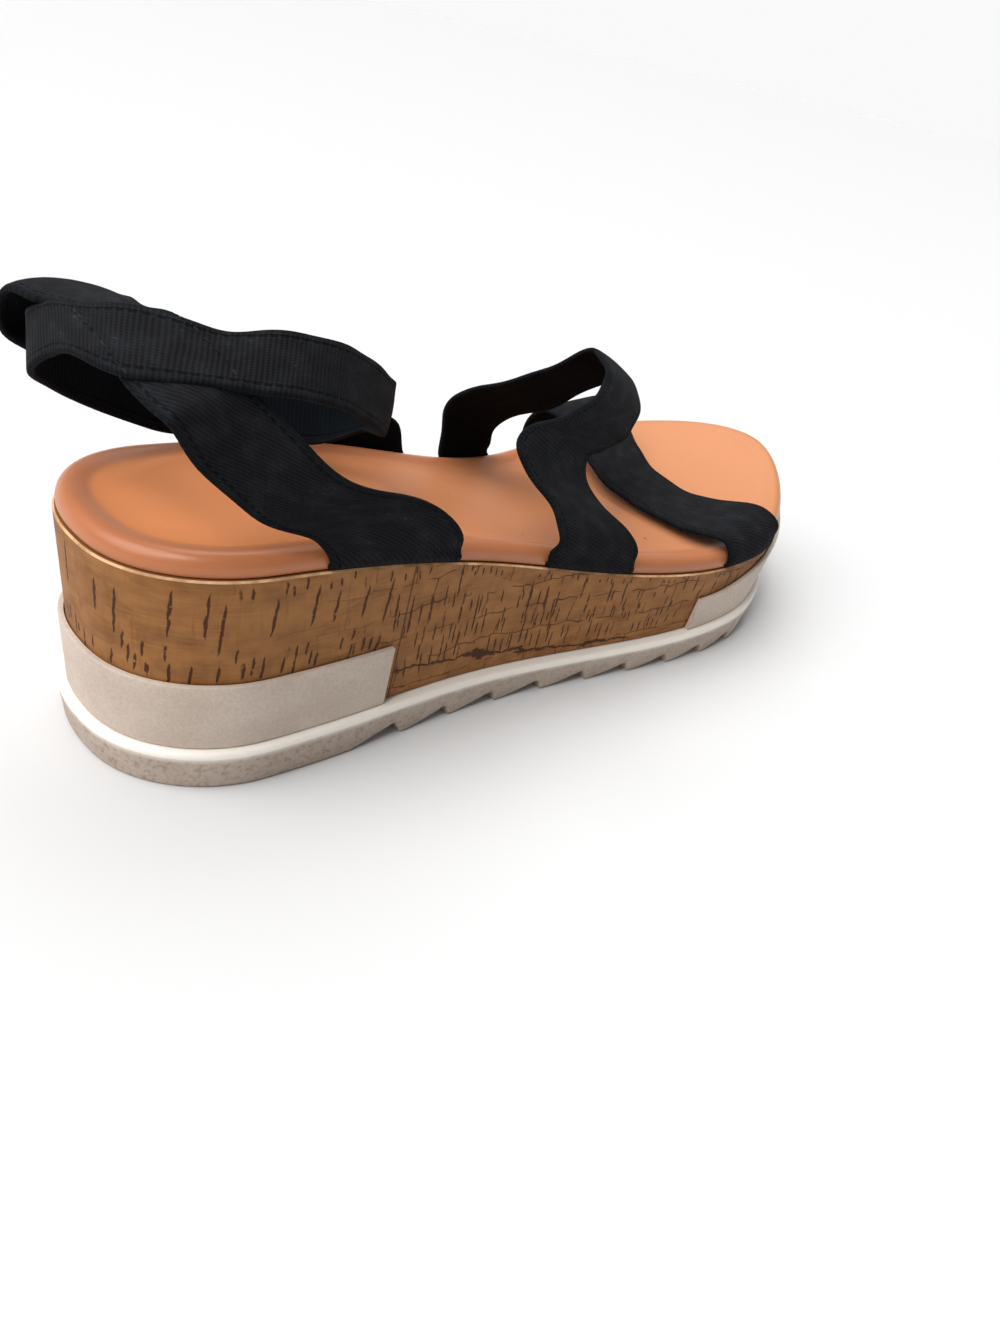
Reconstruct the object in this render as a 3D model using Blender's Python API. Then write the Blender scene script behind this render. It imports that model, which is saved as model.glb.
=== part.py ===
"""Platform sandal for the right foot, standing empty on its sole.

Metres, +X to the toe, +Y to the inner side of the foot, +Z up. The origin is the middle of the
flat heel pad, on the floor. Stations are shares of the sole's length, 0 at the heel and 1 at the toe.
"""

import math

import bmesh
import bpy
import numpy as np

MM = 0.001

# Driving sizes
LENGTH = 266 * MM
BALL_WIDTH = 96.5 * MM
HEEL_HEIGHT = 55.3 * MM
RIM_HEIGHT = 10.6 * MM
REST_STATION = 0.113
FIT_GAP = 0.3 * MM

# Outsole
HEEL_ROUND = 0.121
HEEL_SQUARENESS = 2.26
TOE_ROUND = 0.25
TOE_SQUARENESS = 1.98
SPRING_START = 0.70
TOE_SPRING = 10.2 * MM
PAD_START = 0.02
PAD_END = 0.207
PAD_RELIEF_END = 0.26
PAD_RELIEF = 4.0 * MM
LUG_START = 0.269
LUG_PITCH = 0.0622
LUG_COUNT = 11
LUG_END = 0.95
LUG_DEPTH = 3.2 * MM
BOTTOM_INSET = 1.1 * MM
BOTTOM_ROUND = 0.9 * MM
RIM_BEVEL = 1.6 * MM
RIM_BEVEL_WIDTH = 1.3 * MM

# Cork and the two white strips on it
CORK_FOOT_INSET = 3.6 * MM
CORK_TOP_INSET = 0.9 * MM
CORK_CHAMFER = 0.5 * MM
STRIP_THICKNESS = 1.3 * MM
STRIP_CHAMFER = 0.35 * MM
BAND_HEIGHT = 18 * MM
BAND_END = 0.233
BUMPER_HEIGHT = 12 * MM
BUMPER_START = 0.667

# Footbed
BED_EDGE_INSET = 1.6 * MM
BED_THICKNESS = 4.8 * MM
BED_DISH = 1.9 * MM
BED_ROLL = 4.2 * MM

# Straps
STRAP_THICKNESS = 1.5 * MM
STRAP_RISE = 50 * MM
TUCK_DEPTH = 12 * MM
TUCK_BEND = 1.2 * MM
TUCK_RISE = 3.4 * MM
SEAM_SINK = 0.8 * MM
POCKET_SLACK = 0.8 * MM

# How finely the pieces are drawn
SIDE_STATIONS = 44
POCKET_STATIONS = 9
STRAP_STEP = 3.6 * MM
STRAP_COLUMNS = 5
BAND_COLUMNS = 4
SEAM_ROWS = 3
LOOP_OVERLAP = 3
TUCK_ANGLES = (0, 30, 60, 90)

# Half widths as shares of the ball width
PLAN = [
    # station, outer, inner
    (0.00, 0.307, 0.362),
    (0.18, 0.365, 0.328),
    (0.36, 0.379, 0.361),
    (0.54, 0.462, 0.361),
    (0.72, 0.535, 0.464),
    (0.86, 0.490, 0.503),
    (1.00, 0.396, 0.449),
]

# Height of the cork's top as a share of the heel height
CORK_TOP = [
    # station, height
    (0.00, 1.000),
    (0.15, 1.004),
    (0.35, 0.848),
    (0.50, 0.687),
    (0.65, 0.595),
    (0.85, 0.634),
    (1.00, 0.789),
]

# Height of the outsole's ledge as a share of the rim height
RIM = [
    # station, height
    (0.00, 1.00),
    (0.25, 1.05),
    (0.50, 0.94),
    (0.75, 1.08),
    (1.00, 1.56),
]

# One lug from its tip to the next, as shares of the pitch and the depth
LUG = [
    # along, depth
    (0.00, 0.00),
    (0.12, 0.00),
    (0.36, 0.26),
    (0.62, 0.60),
    (0.84, 0.95),
    (0.91, 1.00),
    (0.96, 0.70),
]

# Height of the toe bumper above the ledge as a share of its height
BUMPER = [
    # station, height
    (0.667, 1.00),
    (0.715, 1.08),
    (0.765, 1.35),
    (0.800, 1.50),
    (0.900, 1.66),
    (1.000, 1.80),
]

# Cross section of the footbed from its lower edge to the middle
BED_SECTION = [
    # inset, height as a share of the thickness
    (0.3 * MM, 0.00),
    (0.0 * MM, 0.14),
    (0.0 * MM, 0.40),
    (0.6 * MM, 0.72),
    (1.7 * MM, 0.93),
    (3.2 * MM, 1.00),
]

# The footbed's dish, inside its rolled rim
BED_DISHING = [
    # inset as a share of the roll, depth as a share of the dish
    (1.0, 0.45),
    (2.0, 0.85),
    (3.0, 1.00),
]

# Rows of a strap give its heel side edge and its toe side edge. Along is a station, across a share
# of the ball width, and up a share of the strap rise above the cork's top.
TOE_ROWS = [
    # heel side: along, across, up; toe side: along, across, up
    (0.688, -0.508, 0.17, 0.802, -0.503, 0.17),
    (0.682, -0.474, 0.19, 0.797, -0.459, 0.23),
    (0.679, -0.420, 0.17, 0.784, -0.394, 0.25),
    (0.675, -0.342, 0.15, 0.770, -0.301, 0.21),
    (0.672, -0.228, 0.15, 0.765, -0.166, 0.18),
    (0.674, -0.083, 0.15, 0.769, -0.021, 0.20),
    (0.688, 0.083, 0.19, 0.786, 0.104, 0.25),
    (0.703, 0.207, 0.29, 0.805, 0.207, 0.33),
    (0.701, 0.311, 0.42, 0.812, 0.321, 0.45),
    (0.694, 0.389, 0.41, 0.814, 0.409, 0.41),
    (0.687, 0.430, 0.28, 0.813, 0.459, 0.28),
]

INSTEP_ROWS = [
    # heel side: along, across, up; toe side: along, across, up
    (0.421, -0.415, 0.16, 0.538, -0.459, 0.16),
    (0.421, -0.399, 0.26, 0.523, -0.435, 0.27),
    (0.421, -0.358, 0.35, 0.506, -0.389, 0.34),
    (0.412, -0.306, 0.43, 0.498, -0.337, 0.40),
    (0.404, -0.264, 0.51, 0.496, -0.295, 0.48),
    (0.403, -0.238, 0.59, 0.506, -0.269, 0.57),
    (0.422, -0.228, 0.68, 0.526, -0.257, 0.60),
    (0.450, -0.228, 0.73, 0.549, -0.244, 0.62),
    (0.496, -0.218, 0.82, 0.581, -0.223, 0.65),
    (0.536, -0.187, 0.91, 0.618, -0.176, 0.70),
    (0.567, -0.130, 1.00, 0.652, -0.114, 0.77),
    (0.583, -0.062, 1.04, 0.672, -0.041, 0.84),
    (0.596, 0.016, 1.05, 0.682, 0.041, 0.83),
    (0.581, 0.083, 0.93, 0.676, 0.109, 0.73),
    (0.560, 0.130, 0.82, 0.652, 0.161, 0.62),
    (0.524, 0.187, 0.70, 0.617, 0.207, 0.53),
    (0.502, 0.240, 0.61, 0.588, 0.257, 0.46),
    (0.491, 0.285, 0.52, 0.574, 0.295, 0.36),
    (0.492, 0.313, 0.40, 0.573, 0.321, 0.27),
    (0.498, 0.323, 0.27, 0.583, 0.332, 0.21),
]

# The ankle band is a closed loop, from the back round the outer side to the front and the inner side
BAND_ROWS = [
    # lower edge: along, across, up; upper edge: along, across, up
    (-0.004, 0.000, 0.78, 0.017, 0.140, 0.89),
    (-0.002, -0.083, 0.83, 0.022, 0.057, 0.93),
    (0.002, -0.135, 0.83, 0.028, -0.005, 0.96),
    (0.010, -0.187, 0.82, 0.036, -0.073, 1.00),
    (0.029, -0.249, 0.83, 0.058, -0.131, 0.99),
    (0.062, -0.280, 0.81, 0.094, -0.155, 0.93),
    (0.092, -0.290, 0.78, 0.123, -0.176, 0.94),
    (0.151, -0.290, 0.72, 0.180, -0.187, 0.92),
    (0.211, -0.228, 0.60, 0.242, -0.132, 0.82),
    (0.261, -0.145, 0.48, 0.295, -0.050, 0.70),
    (0.286, -0.073, 0.42, 0.320, 0.031, 0.66),
    (0.301, 0.041, 0.34, 0.331, 0.135, 0.60),
    (0.271, 0.135, 0.21, 0.297, 0.228, 0.49),
    (0.233, 0.207, 0.17, 0.256, 0.301, 0.45),
    (0.180, 0.259, 0.15, 0.199, 0.342, 0.43),
    (0.124, 0.259, 0.19, 0.143, 0.342, 0.47),
    (0.083, 0.249, 0.29, 0.102, 0.332, 0.56),
    (0.047, 0.218, 0.40, 0.064, 0.311, 0.66),
    (0.017, 0.176, 0.52, 0.034, 0.280, 0.75),
    (-0.003, 0.124, 0.61, 0.017, 0.244, 0.79),
]

# The heel sling runs from its outer anchor under the band, round the back, and down the inner side
SLING_OUTER_ROWS = [
    # heel side: along, across, up; toe side: along, across, up
    (0.148, -0.352, 0.12, 0.293, -0.376, 0.12),
    (0.135, -0.349, 0.18, 0.273, -0.373, 0.22),
    (0.111, -0.342, 0.23, 0.226, -0.366, 0.33),
    (0.088, -0.332, 0.30, 0.173, -0.358, 0.42),
    (0.063, -0.316, 0.43, 0.132, -0.328, 0.59),
    (0.043, -0.301, 0.55, 0.109, -0.287, 0.72),
]

SLING_BACK_ROWS = [
    # heel side: along, across, up; toe side: along, across, up
    (0.017, 0.130, 0.93, 0.075, 0.238, 0.92),
    (0.009, 0.176, 0.91, 0.066, 0.295, 0.91),
    (0.005, 0.223, 0.92, 0.059, 0.352, 0.88),
    (0.003, 0.275, 0.88, 0.056, 0.399, 0.80),
    (0.001, 0.314, 0.78, 0.055, 0.425, 0.68),
    (0.003, 0.321, 0.66, 0.059, 0.425, 0.61),
    (0.023, 0.306, 0.57, 0.077, 0.389, 0.66),
    (0.060, 0.298, 0.46, 0.105, 0.373, 0.72),
]

SLING_INNER_ROWS = [
    # heel side: along, across, up; toe side: along, across, up
    (0.226, 0.309, 0.12, 0.271, 0.347, 0.44),
    (0.256, 0.319, 0.10, 0.316, 0.342, 0.38),
    (0.278, 0.332, 0.12, 0.376, 0.345, 0.31),
    (0.288, 0.340, 0.11, 0.425, 0.352, 0.24),
]

# Where the sling is sewn to the band: row of the band and share of its width, for both sling edges
OUTER_SEAM = [
    # heel side: row, up; toe side: row, up
    (4.2, -0.55, 5.6, 0.30),
    (3.1, -0.05, 4.5, 1.00),
    (1.9, 0.40, 3.7, 1.08),
]

INNER_SEAM = [
    # heel side: row, up; toe side: row, up
    (15.6, 0.45, 15.1, 1.60),
    (14.2, 0.05, 13.7, 1.40),
]

# Where each strap enters the sole: stations of its two edges
ANCHORS = {
    "toe_outer": (0.694, 0.804),
    "toe_inner": (0.684, 0.808),
    "instep_outer": (0.421, 0.545),
    "instep_inner": (0.508, 0.606),
    "sling_outer": (0.158, 0.305),
    "sling_inner": (0.293, 0.447),
}

OUTER = -1
INNER = 1


def natural_spline(knots, values, at):
    """Natural cubic spline through values (one row per knot), evaluated at the given places."""
    knots = np.asarray(knots, float)
    values = np.asarray(values, float)
    at = np.asarray(at, float)
    count = len(knots)
    step = np.diff(knots)
    system = np.eye(count)
    target = np.zeros_like(values)
    for i in range(1, count - 1):
        system[i, i - 1] = step[i - 1]
        system[i, i] = 2 * (step[i - 1] + step[i])
        system[i, i + 1] = step[i]
        target[i] = 6 * ((values[i + 1] - values[i]) / step[i] - (values[i] - values[i - 1]) / step[i - 1])
    bend = np.linalg.solve(system, target.reshape(count, -1)).reshape(values.shape)
    k = np.clip(np.searchsorted(knots, at, side="right") - 1, 0, count - 2)
    shape = at.shape + (1,) * (values.ndim - 1)
    low = (at - knots[k]).reshape(shape)
    high = (knots[k + 1] - at).reshape(shape)
    h = step[k].reshape(shape)
    curve = (bend[k] * high ** 3 + bend[k + 1] * low ** 3) / (6 * h)
    return curve + (values[k] / h - bend[k] * h / 6) * high + (values[k + 1] / h - bend[k + 1] * h / 6) * low


def from_table(table, column, station):
    """Smooth value of one column of a table whose first column is the station."""
    rows = np.array(table)
    return natural_spline(rows[:, 0], rows[:, column], station)


def x_of(station):
    """Place along the shoe of a station."""
    return (np.asarray(station) - REST_STATION) * LENGTH


def half_width(side, station):
    """Half width of the sole's rim on one side, with its rounded heel and toe."""
    width = from_table(PLAN, 1 if side == OUTER else 2, station) * BALL_WIDTH
    heel = np.clip(1 - station / HEEL_ROUND, 0, 1)
    toe = np.clip(1 - (1 - station) / TOE_ROUND, 0, 1)
    width = width * (1 - heel ** HEEL_SQUARENESS) ** (1 / HEEL_SQUARENESS)
    return width * (1 - toe ** TOE_SQUARENESS) ** (1 / TOE_SQUARENESS)


def rim_point(side, station, inset):
    """Plan points of the rim on one side, moved square to it by an inset."""
    station = np.asarray(station, float)
    reach = 1e-4
    before = np.clip(station - reach, 0, 1)
    after = np.clip(station + reach, 0, 1)
    along = (after - before) * LENGTH
    across = side * (half_width(side, after) - half_width(side, before))
    size = np.hypot(along, across)
    x = x_of(station) + side * inset * across / size
    y = side * half_width(side, station) - side * inset * along / size
    return np.stack([x, y], -1)


def outline(stations, insets):
    """Closed plan outline: heel point, outer side, toe point, inner side back to the heel."""
    inset = np.broadcast_to(insets, np.shape(stations))
    outer = rim_point(OUTER, stations[1:-1], inset[1:-1])
    inner = rim_point(INNER, stations[1:-1], inset[1:-1])[::-1]
    heel = np.array([[x_of(0) + inset[0], 0]])
    toe = np.array([[x_of(1) - inset[-1], 0]])
    return np.concatenate([heel, outer, toe, inner])


def ring(stations, insets, heights):
    """Closed ring of points with the outline of an inset and a height for each station."""
    plan = outline(stations, insets)
    z = np.broadcast_to(heights, np.shape(stations))
    return np.column_stack([plan, np.concatenate([z, z[-2:0:-1]])])


def even_stations(count, low=0.0, high=1.0):
    """Stations that lie closer together at the heel and the toe."""
    full = (1 - np.cos(np.linspace(0, math.pi, count))) / 2
    kept = full[(full > low) & (full < high)]
    return np.concatenate([[low], kept, [high]])


def cork_top(station):
    """Height of the cork's top over the floor."""
    return from_table(CORK_TOP, 1, np.clip(station, 0, 1)) * HEEL_HEIGHT


def ledge(station):
    """Height of the outsole's ledge over the floor."""
    return from_table(RIM, 1, station) * RIM_HEIGHT


def tread_table():
    """Stations and heights of the sole's underside before the toe spring."""
    rows = [(0.0, 0.0), (PAD_START, 0.0), (PAD_END, 0.0), (PAD_RELIEF_END, PAD_RELIEF)]
    for i in range(LUG_COUNT):
        for along, depth in LUG:
            rows.append((LUG_START + (i + along) * LUG_PITCH, depth * LUG_DEPTH))
    return np.array([row for row in rows if row[0] < LUG_END] + [(1.0, 0.0)])


def toe_spring(station):
    """Lift of the sole's underside towards the toe."""
    past = np.clip((station - SPRING_START) / (1 - SPRING_START), 0, None)
    return TOE_SPRING * past ** 2


def wall_inset(station, height):
    """Inset of the cork's sloping wall at a height over the floor."""
    low = ledge(station) + FIT_GAP
    high = cork_top(station) - CORK_CHAMFER
    share = (height - low) / (high - low)
    return CORK_FOOT_INSET + (CORK_TOP_INSET - CORK_FOOT_INSET) * share


def material(name, colour, roughness):
    """Principled material of one piece."""
    made = bpy.data.materials.new(name)
    made.use_nodes = True
    shader = made.node_tree.nodes["Principled BSDF"]
    shader.inputs["Base Color"].default_value = (*colour, 1)
    shader.inputs["Roughness"].default_value = roughness
    return made


def mesh_object(name, points, faces, made=None):
    """Object with outward faces from points and faces."""
    mesh = bpy.data.meshes.new(name)
    mesh.from_pydata([tuple(p) for p in points], [], faces)
    shape = bmesh.new()
    shape.from_mesh(mesh)
    bmesh.ops.recalc_face_normals(shape, faces=shape.faces)
    shape.to_mesh(mesh)
    shape.free()
    made_object = bpy.data.objects.new(name, mesh)
    bpy.context.scene.collection.objects.link(made_object)
    if made:
        mesh.materials.append(made)
    return made_object


def ladder(first, count, stations):
    """Faces across one ring, rung by rung, from the heel point to the toe point."""
    inner = [first + (count - i) % count for i in range(stations)]
    outer = [first + i for i in range(stations)]
    faces = [(outer[0], outer[1], inner[1])]
    for i in range(1, stations - 2):
        faces.append((outer[i], outer[i + 1], inner[i + 1], inner[i]))
    faces.append((outer[-2], outer[-1], inner[-2]))
    return faces


def stacked(name, rings, stations, made):
    """Solid from a stack of rings, closed by rungs across the first and the last."""
    count = len(rings[0])
    faces = ladder(0, count, stations)
    for level in range(len(rings) - 1):
        for i in range(count):
            j = (i + 1) % count
            low, high = level * count, (level + 1) * count
            faces.append((low + i, low + j, high + j, high + i))
    faces += ladder((len(rings) - 1) * count, count, stations)
    return mesh_object(name, np.concatenate(rings), faces, made)


def swept(name, sections, made=None):
    """Solid from a row of closed sections with as many points each, with both ends closed."""
    size = len(sections[0])
    faces = [tuple(range(size))]
    for level in range(len(sections) - 1):
        for i in range(size):
            j = (i + 1) % size
            low, high = level * size, (level + 1) * size
            faces.append((low + i, low + j, high + j, high + i))
    last = (len(sections) - 1) * size
    faces.append(tuple(last + i for i in range(size)))
    return mesh_object(name, np.concatenate(sections), faces, made)


def make_outsole():
    """Moulded sole with its flat heel pad, saw-tooth lugs, toe spring and bevelled ledge."""
    tread = tread_table()
    plain = even_stations(SIDE_STATIONS)
    plain = plain[(plain < PAD_RELIEF_END) | (plain > LUG_END)]
    stations = np.unique(np.concatenate([tread[:, 0], plain]))
    bottom = np.interp(stations, tread[:, 0], tread[:, 1]) + toe_spring(stations)
    top = ledge(stations)
    side_low = bottom + BOTTOM_ROUND
    side_high = top - RIM_BEVEL
    rings = [
        ring(stations, BOTTOM_INSET + BOTTOM_ROUND, bottom),
        ring(stations, BOTTOM_INSET, side_low),
        ring(stations, 0, side_high),
        ring(stations, RIM_BEVEL_WIDTH, top),
        ring(stations, CORK_FOOT_INSET + STRIP_THICKNESS, top),
    ]
    return stacked("outsole", rings, len(stations), material("sole_rubber", (0.72, 0.66, 0.58), 0.6))


def make_cork():
    """Wedge of cork between the outsole and the footbed, flaring to its top."""
    stations = even_stations(SIDE_STATIONS)
    top = cork_top(stations)
    rings = [
        ring(stations, CORK_FOOT_INSET, ledge(stations) + FIT_GAP),
        ring(stations, CORK_TOP_INSET, top - CORK_CHAMFER),
        ring(stations, CORK_TOP_INSET + CORK_CHAMFER, top),
    ]
    return stacked("cork_midsole", rings, len(stations), material("cork", (0.44, 0.25, 0.12), 0.75))


def strip_section(side, station, top):
    """Section of a white strip standing on the ledge against the cork."""
    low = ledge(station) + FIT_GAP
    levels = [low, top, top, top - STRIP_CHAMFER, low]
    outward = [0, 0, STRIP_THICKNESS - STRIP_CHAMFER, STRIP_THICKNESS, STRIP_THICKNESS]
    points = []
    for z, out in zip(levels, outward):
        inset = wall_inset(station, z) - FIT_GAP - out
        if 0 < station < 1:
            x, y = rim_point(side, station, inset)
        else:
            x, y = (x_of(0) + inset, 0) if station == 0 else (x_of(1) - inset, 0)
        points.append((x, y, z))
    return np.array(points)


def make_heel_band():
    """White strip round the heel."""
    stations = even_stations(SIDE_STATIONS, 0, BAND_END)
    path = [(OUTER, s) for s in stations[:0:-1]] + [(INNER, s) for s in stations]
    sections = [strip_section(side, s, ledge(s) + BAND_HEIGHT) for side, s in path]
    return swept("heel_band", sections, material("band_rubber", (0.80, 0.76, 0.70), 0.55))


def make_toe_bumper():
    """White strip round the toe, rising almost to the cork's top."""
    stations = even_stations(SIDE_STATIONS, BUMPER_START, 1)
    path = [(OUTER, s) for s in stations[:-1]] + [(INNER, s) for s in stations[::-1]]
    sections = []
    for side, s in path:
        top = ledge(s) + from_table(BUMPER, 1, s) * BUMPER_HEIGHT
        sections.append(strip_section(side, s, top))
    return swept("toe_bumper", sections, material("bumper_rubber", (0.80, 0.76, 0.70), 0.55))


def make_footbed():
    """Padded insole with a rolled rim and a dished middle."""
    stations = even_stations(SIDE_STATIONS)
    base = cork_top(stations) + FIT_GAP
    rings = []
    for inset, share in BED_SECTION:
        rings.append(ring(stations, BED_EDGE_INSET + inset, base + share * BED_THICKNESS))
    crest = BED_EDGE_INSET + BED_SECTION[-1][0]
    for inset, depth in BED_DISHING:
        height = base + BED_THICKNESS - depth * BED_DISH
        rings.append(ring(stations, crest + inset * BED_ROLL, height))
    return stacked("footbed", rings, len(stations), material("bed_leather", (0.66, 0.31, 0.15), 0.45))


def cut(target, cutter):
    """Boolean difference with a hidden cutter."""
    cutter.hide_render = True
    cutter.display_type = "WIRE"
    modifier = target.modifiers.new(cutter.name, "BOOLEAN")
    modifier.operation = "DIFFERENCE"
    modifier.solver = "EXACT"
    modifier.object = cutter


def make_pocket(name, side, anchor):
    """Cutter for the pocket that takes one strap end between footbed and cork."""
    first, last = ANCHORS[anchor]
    slack = POCKET_SLACK / LENGTH
    sections = []
    for station in np.linspace(first - slack, last + slack, POCKET_STATIONS):
        low = cork_top(station) - STRAP_THICKNESS
        high = cork_top(station) + STRAP_THICKNESS + 2 * FIT_GAP
        near = rim_point(side, station, -STRAP_THICKNESS)
        far = rim_point(side, station, BED_EDGE_INSET + TUCK_DEPTH + FIT_GAP)
        sections.append([(*near, low), (*near, high), (*far, high), (*far, low)])
    return swept(name, np.array(sections))


def tuck(side, anchor):
    """Rows of a strap end from under the footbed out round its edge and up, as far as it stands."""
    stations = np.linspace(*ANCHORS[anchor], STRAP_COLUMNS)
    seat = cork_top(stations) + FIT_GAP + STRAP_THICKNESS / 2
    face = BED_EDGE_INSET - FIT_GAP - STRAP_THICKNESS / 2
    places = [(face + TUCK_DEPTH, 0.0), (face + TUCK_DEPTH / 2, 0.0)]
    for angle in np.radians(TUCK_ANGLES):
        places.append((face + TUCK_BEND * (1 - math.sin(angle)), TUCK_BEND * (1 - math.cos(angle))))
    places.append((face, TUCK_RISE))
    rows = []
    for inset, rise in places:
        rows.append(np.column_stack([rim_point(side, stations, inset), seat + rise]))
    return rows


def strap_point(along, across, up):
    """Point of a strap table: station, share of the ball width, share of the rise over the cork."""
    z = cork_top(along) + np.asarray(up) * STRAP_RISE
    return np.stack([x_of(along), np.asarray(across) * BALL_WIDTH, z], -1)


def strap_rows(table, columns):
    """Rows of points across a strap for each row of its table."""
    share = np.linspace(0, 1, columns)[:, None]
    rows = []
    for row in table:
        first = strap_point(*row[:3])
        last = strap_point(*row[3:])
        rows.append(first + share * (last - first))
    return rows


def chord_places(rows):
    """Distance along the middle of a strap at each of its rows."""
    middle = np.mean(rows, axis=1)
    return np.concatenate([[0], np.cumsum(np.linalg.norm(np.diff(middle, axis=0), axis=1))])


def resampled(rows, step):
    """Rows at even steps along a smooth curve through the given rows."""
    rows = np.array(rows)
    places = chord_places(rows)
    count = max(3, int(round(places[-1] / step)))
    return list(natural_spline(places, rows, np.linspace(0, places[-1], count + 1)))


def surface_normals(grid, closed):
    """Unit normals of a grid of points, rows along it and columns across it."""
    along = np.gradient(grid, axis=0)
    if closed:
        along = (np.roll(grid, -1, axis=0) - np.roll(grid, 1, axis=0)) / 2
    across = np.gradient(grid, axis=1)
    normal = np.cross(along, across)
    return normal / np.linalg.norm(normal, axis=2, keepdims=True)


def ribbon(name, rows, closed=False, made=None):
    """Strap of even thickness round the rows of its middle surface."""
    grid = np.array(rows)
    count, columns = grid.shape[:2]
    offset = surface_normals(grid, closed) * STRAP_THICKNESS / 2
    sections = np.concatenate([grid + offset, (grid - offset)[:, ::-1]], axis=1)
    if not closed:
        return swept(name, list(sections), made)
    size = 2 * columns
    faces = []
    for level in range(count):
        low, high = level * size, (level + 1) % count * size
        for i in range(size):
            j = (i + 1) % size
            faces.append((low + i, low + j, high + j, high + i))
    return mesh_object(name, sections.reshape(-1, 3), faces, made)


def anchored_strap(name, outer_anchor, inner_anchor, middle, made):
    """Strap from the outer side over the foot to the inner side, with both ends tucked in."""
    start = tuck(OUTER, outer_anchor)
    end = tuck(INNER, inner_anchor)
    free = [start[-2], start[-1]] + middle + [end[-1], end[-2]]
    rows = start[:-2] + resampled(free, STRAP_STEP) + end[-3::-1]
    return ribbon(name, rows, made=made)


def band_loop():
    """Edges of the ankle band in each of its rows, with the loop's overlap added at both ends."""
    rows = np.array(strap_rows(BAND_ROWS, 2))
    return np.concatenate([rows[-LOOP_OVERLAP:], rows, rows[:LOOP_OVERLAP]])


def on_band(row, up, lift):
    """Point on the ankle band at a row and a share of its width, lifted off its middle surface."""
    rows = band_loop()
    places = chord_places(rows)
    reach = 0.02
    row = row + LOOP_OVERLAP
    at = np.interp([row - reach, row, row + reach], np.arange(len(rows)), places)
    edges = natural_spline(places, rows, at)
    points = edges[:, 0] + up * (edges[:, 1] - edges[:, 0])
    normal = np.cross(points[2] - points[0], edges[1, 1] - edges[1, 0])
    return points[1] + lift * normal / np.linalg.norm(normal)


def seam_rows(table, lift):
    """Rows of the sling where it lies on the ankle band, with more rows between those of the table."""
    table = np.array(table)
    places = np.linspace(0, len(table) - 1, SEAM_ROWS * (len(table) - 1) + 1)
    rows = []
    for heel_row, heel_up, toe_row, toe_up in natural_spline(np.arange(len(table)), table, places):
        points = np.linspace((heel_row, heel_up), (toe_row, toe_up), STRAP_COLUMNS)
        rows.append(np.array([on_band(row, up, lift) for row, up in points]))
    return rows


def make_ankle_band():
    """Closed loop of the ankle band."""
    rows = band_loop()
    places = chord_places(rows)
    first = places[LOOP_OVERLAP]
    loop = places[len(BAND_ROWS) + LOOP_OVERLAP] - first
    count = int(round(loop / STRAP_STEP))
    dense = natural_spline(places, rows, first + np.arange(count) * loop / count)
    share = np.linspace(0, 1, BAND_COLUMNS)[:, None]
    return ribbon("ankle_band", [low + share * (high - low) for low, high in dense], closed=True)


def make_ankle_straps():
    """Heel sling and ankle band in one, sewn together where they cross on each side."""
    lift = STRAP_THICKNESS - SEAM_SINK
    middle = strap_rows(SLING_OUTER_ROWS, STRAP_COLUMNS)
    middle += seam_rows(OUTER_SEAM, -lift)
    middle += strap_rows(SLING_BACK_ROWS, STRAP_COLUMNS)
    middle += seam_rows(INNER_SEAM, lift)
    middle += strap_rows(SLING_INNER_ROWS, STRAP_COLUMNS)
    elastic = material("ankle_elastic", (0.012, 0.013, 0.016), 0.85)
    sling = anchored_strap("ankle_straps", "sling_outer", "sling_inner", middle, elastic)
    band = make_ankle_band()
    band.hide_render = True
    band.display_type = "WIRE"
    joined = sling.modifiers.new("sewn", "BOOLEAN")
    joined.operation = "UNION"
    joined.solver = "EXACT"
    joined.object = band
    return sling


def make_sandal():
    """Build every piece."""
    make_outsole()
    make_cork()
    make_heel_band()
    make_toe_bumper()
    footbed = make_footbed()
    for anchor in ANCHORS:
        side = OUTER if anchor.endswith("outer") else INNER
        cut(footbed, make_pocket(anchor + "_pocket", side, anchor))
    anchored_strap("toe_strap", "toe_outer", "toe_inner", strap_rows(TOE_ROWS, STRAP_COLUMNS),
                   material("toe_elastic", (0.012, 0.013, 0.016), 0.85))
    anchored_strap("instep_strap", "instep_outer", "instep_inner", strap_rows(INSTEP_ROWS, STRAP_COLUMNS),
                   material("instep_elastic", (0.012, 0.013, 0.016), 0.85))
    make_ankle_straps()


for old in list(bpy.data.objects):
    bpy.data.objects.remove(old, do_unlink=True)
make_sandal()
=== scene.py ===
"""Looks of the right-foot platform sandal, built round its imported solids.

Everything is in metres in the solids' own frame: +X to the toe, +Y to the inner side of the foot and
+Z up, with the origin under the middle of the heel pad. Stations are shares of the sole's length.
"""

import logging
import math
from dataclasses import dataclass
from enum import Enum

import bmesh
import bpy
import numpy as np
from mathutils import Matrix, Vector


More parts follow.
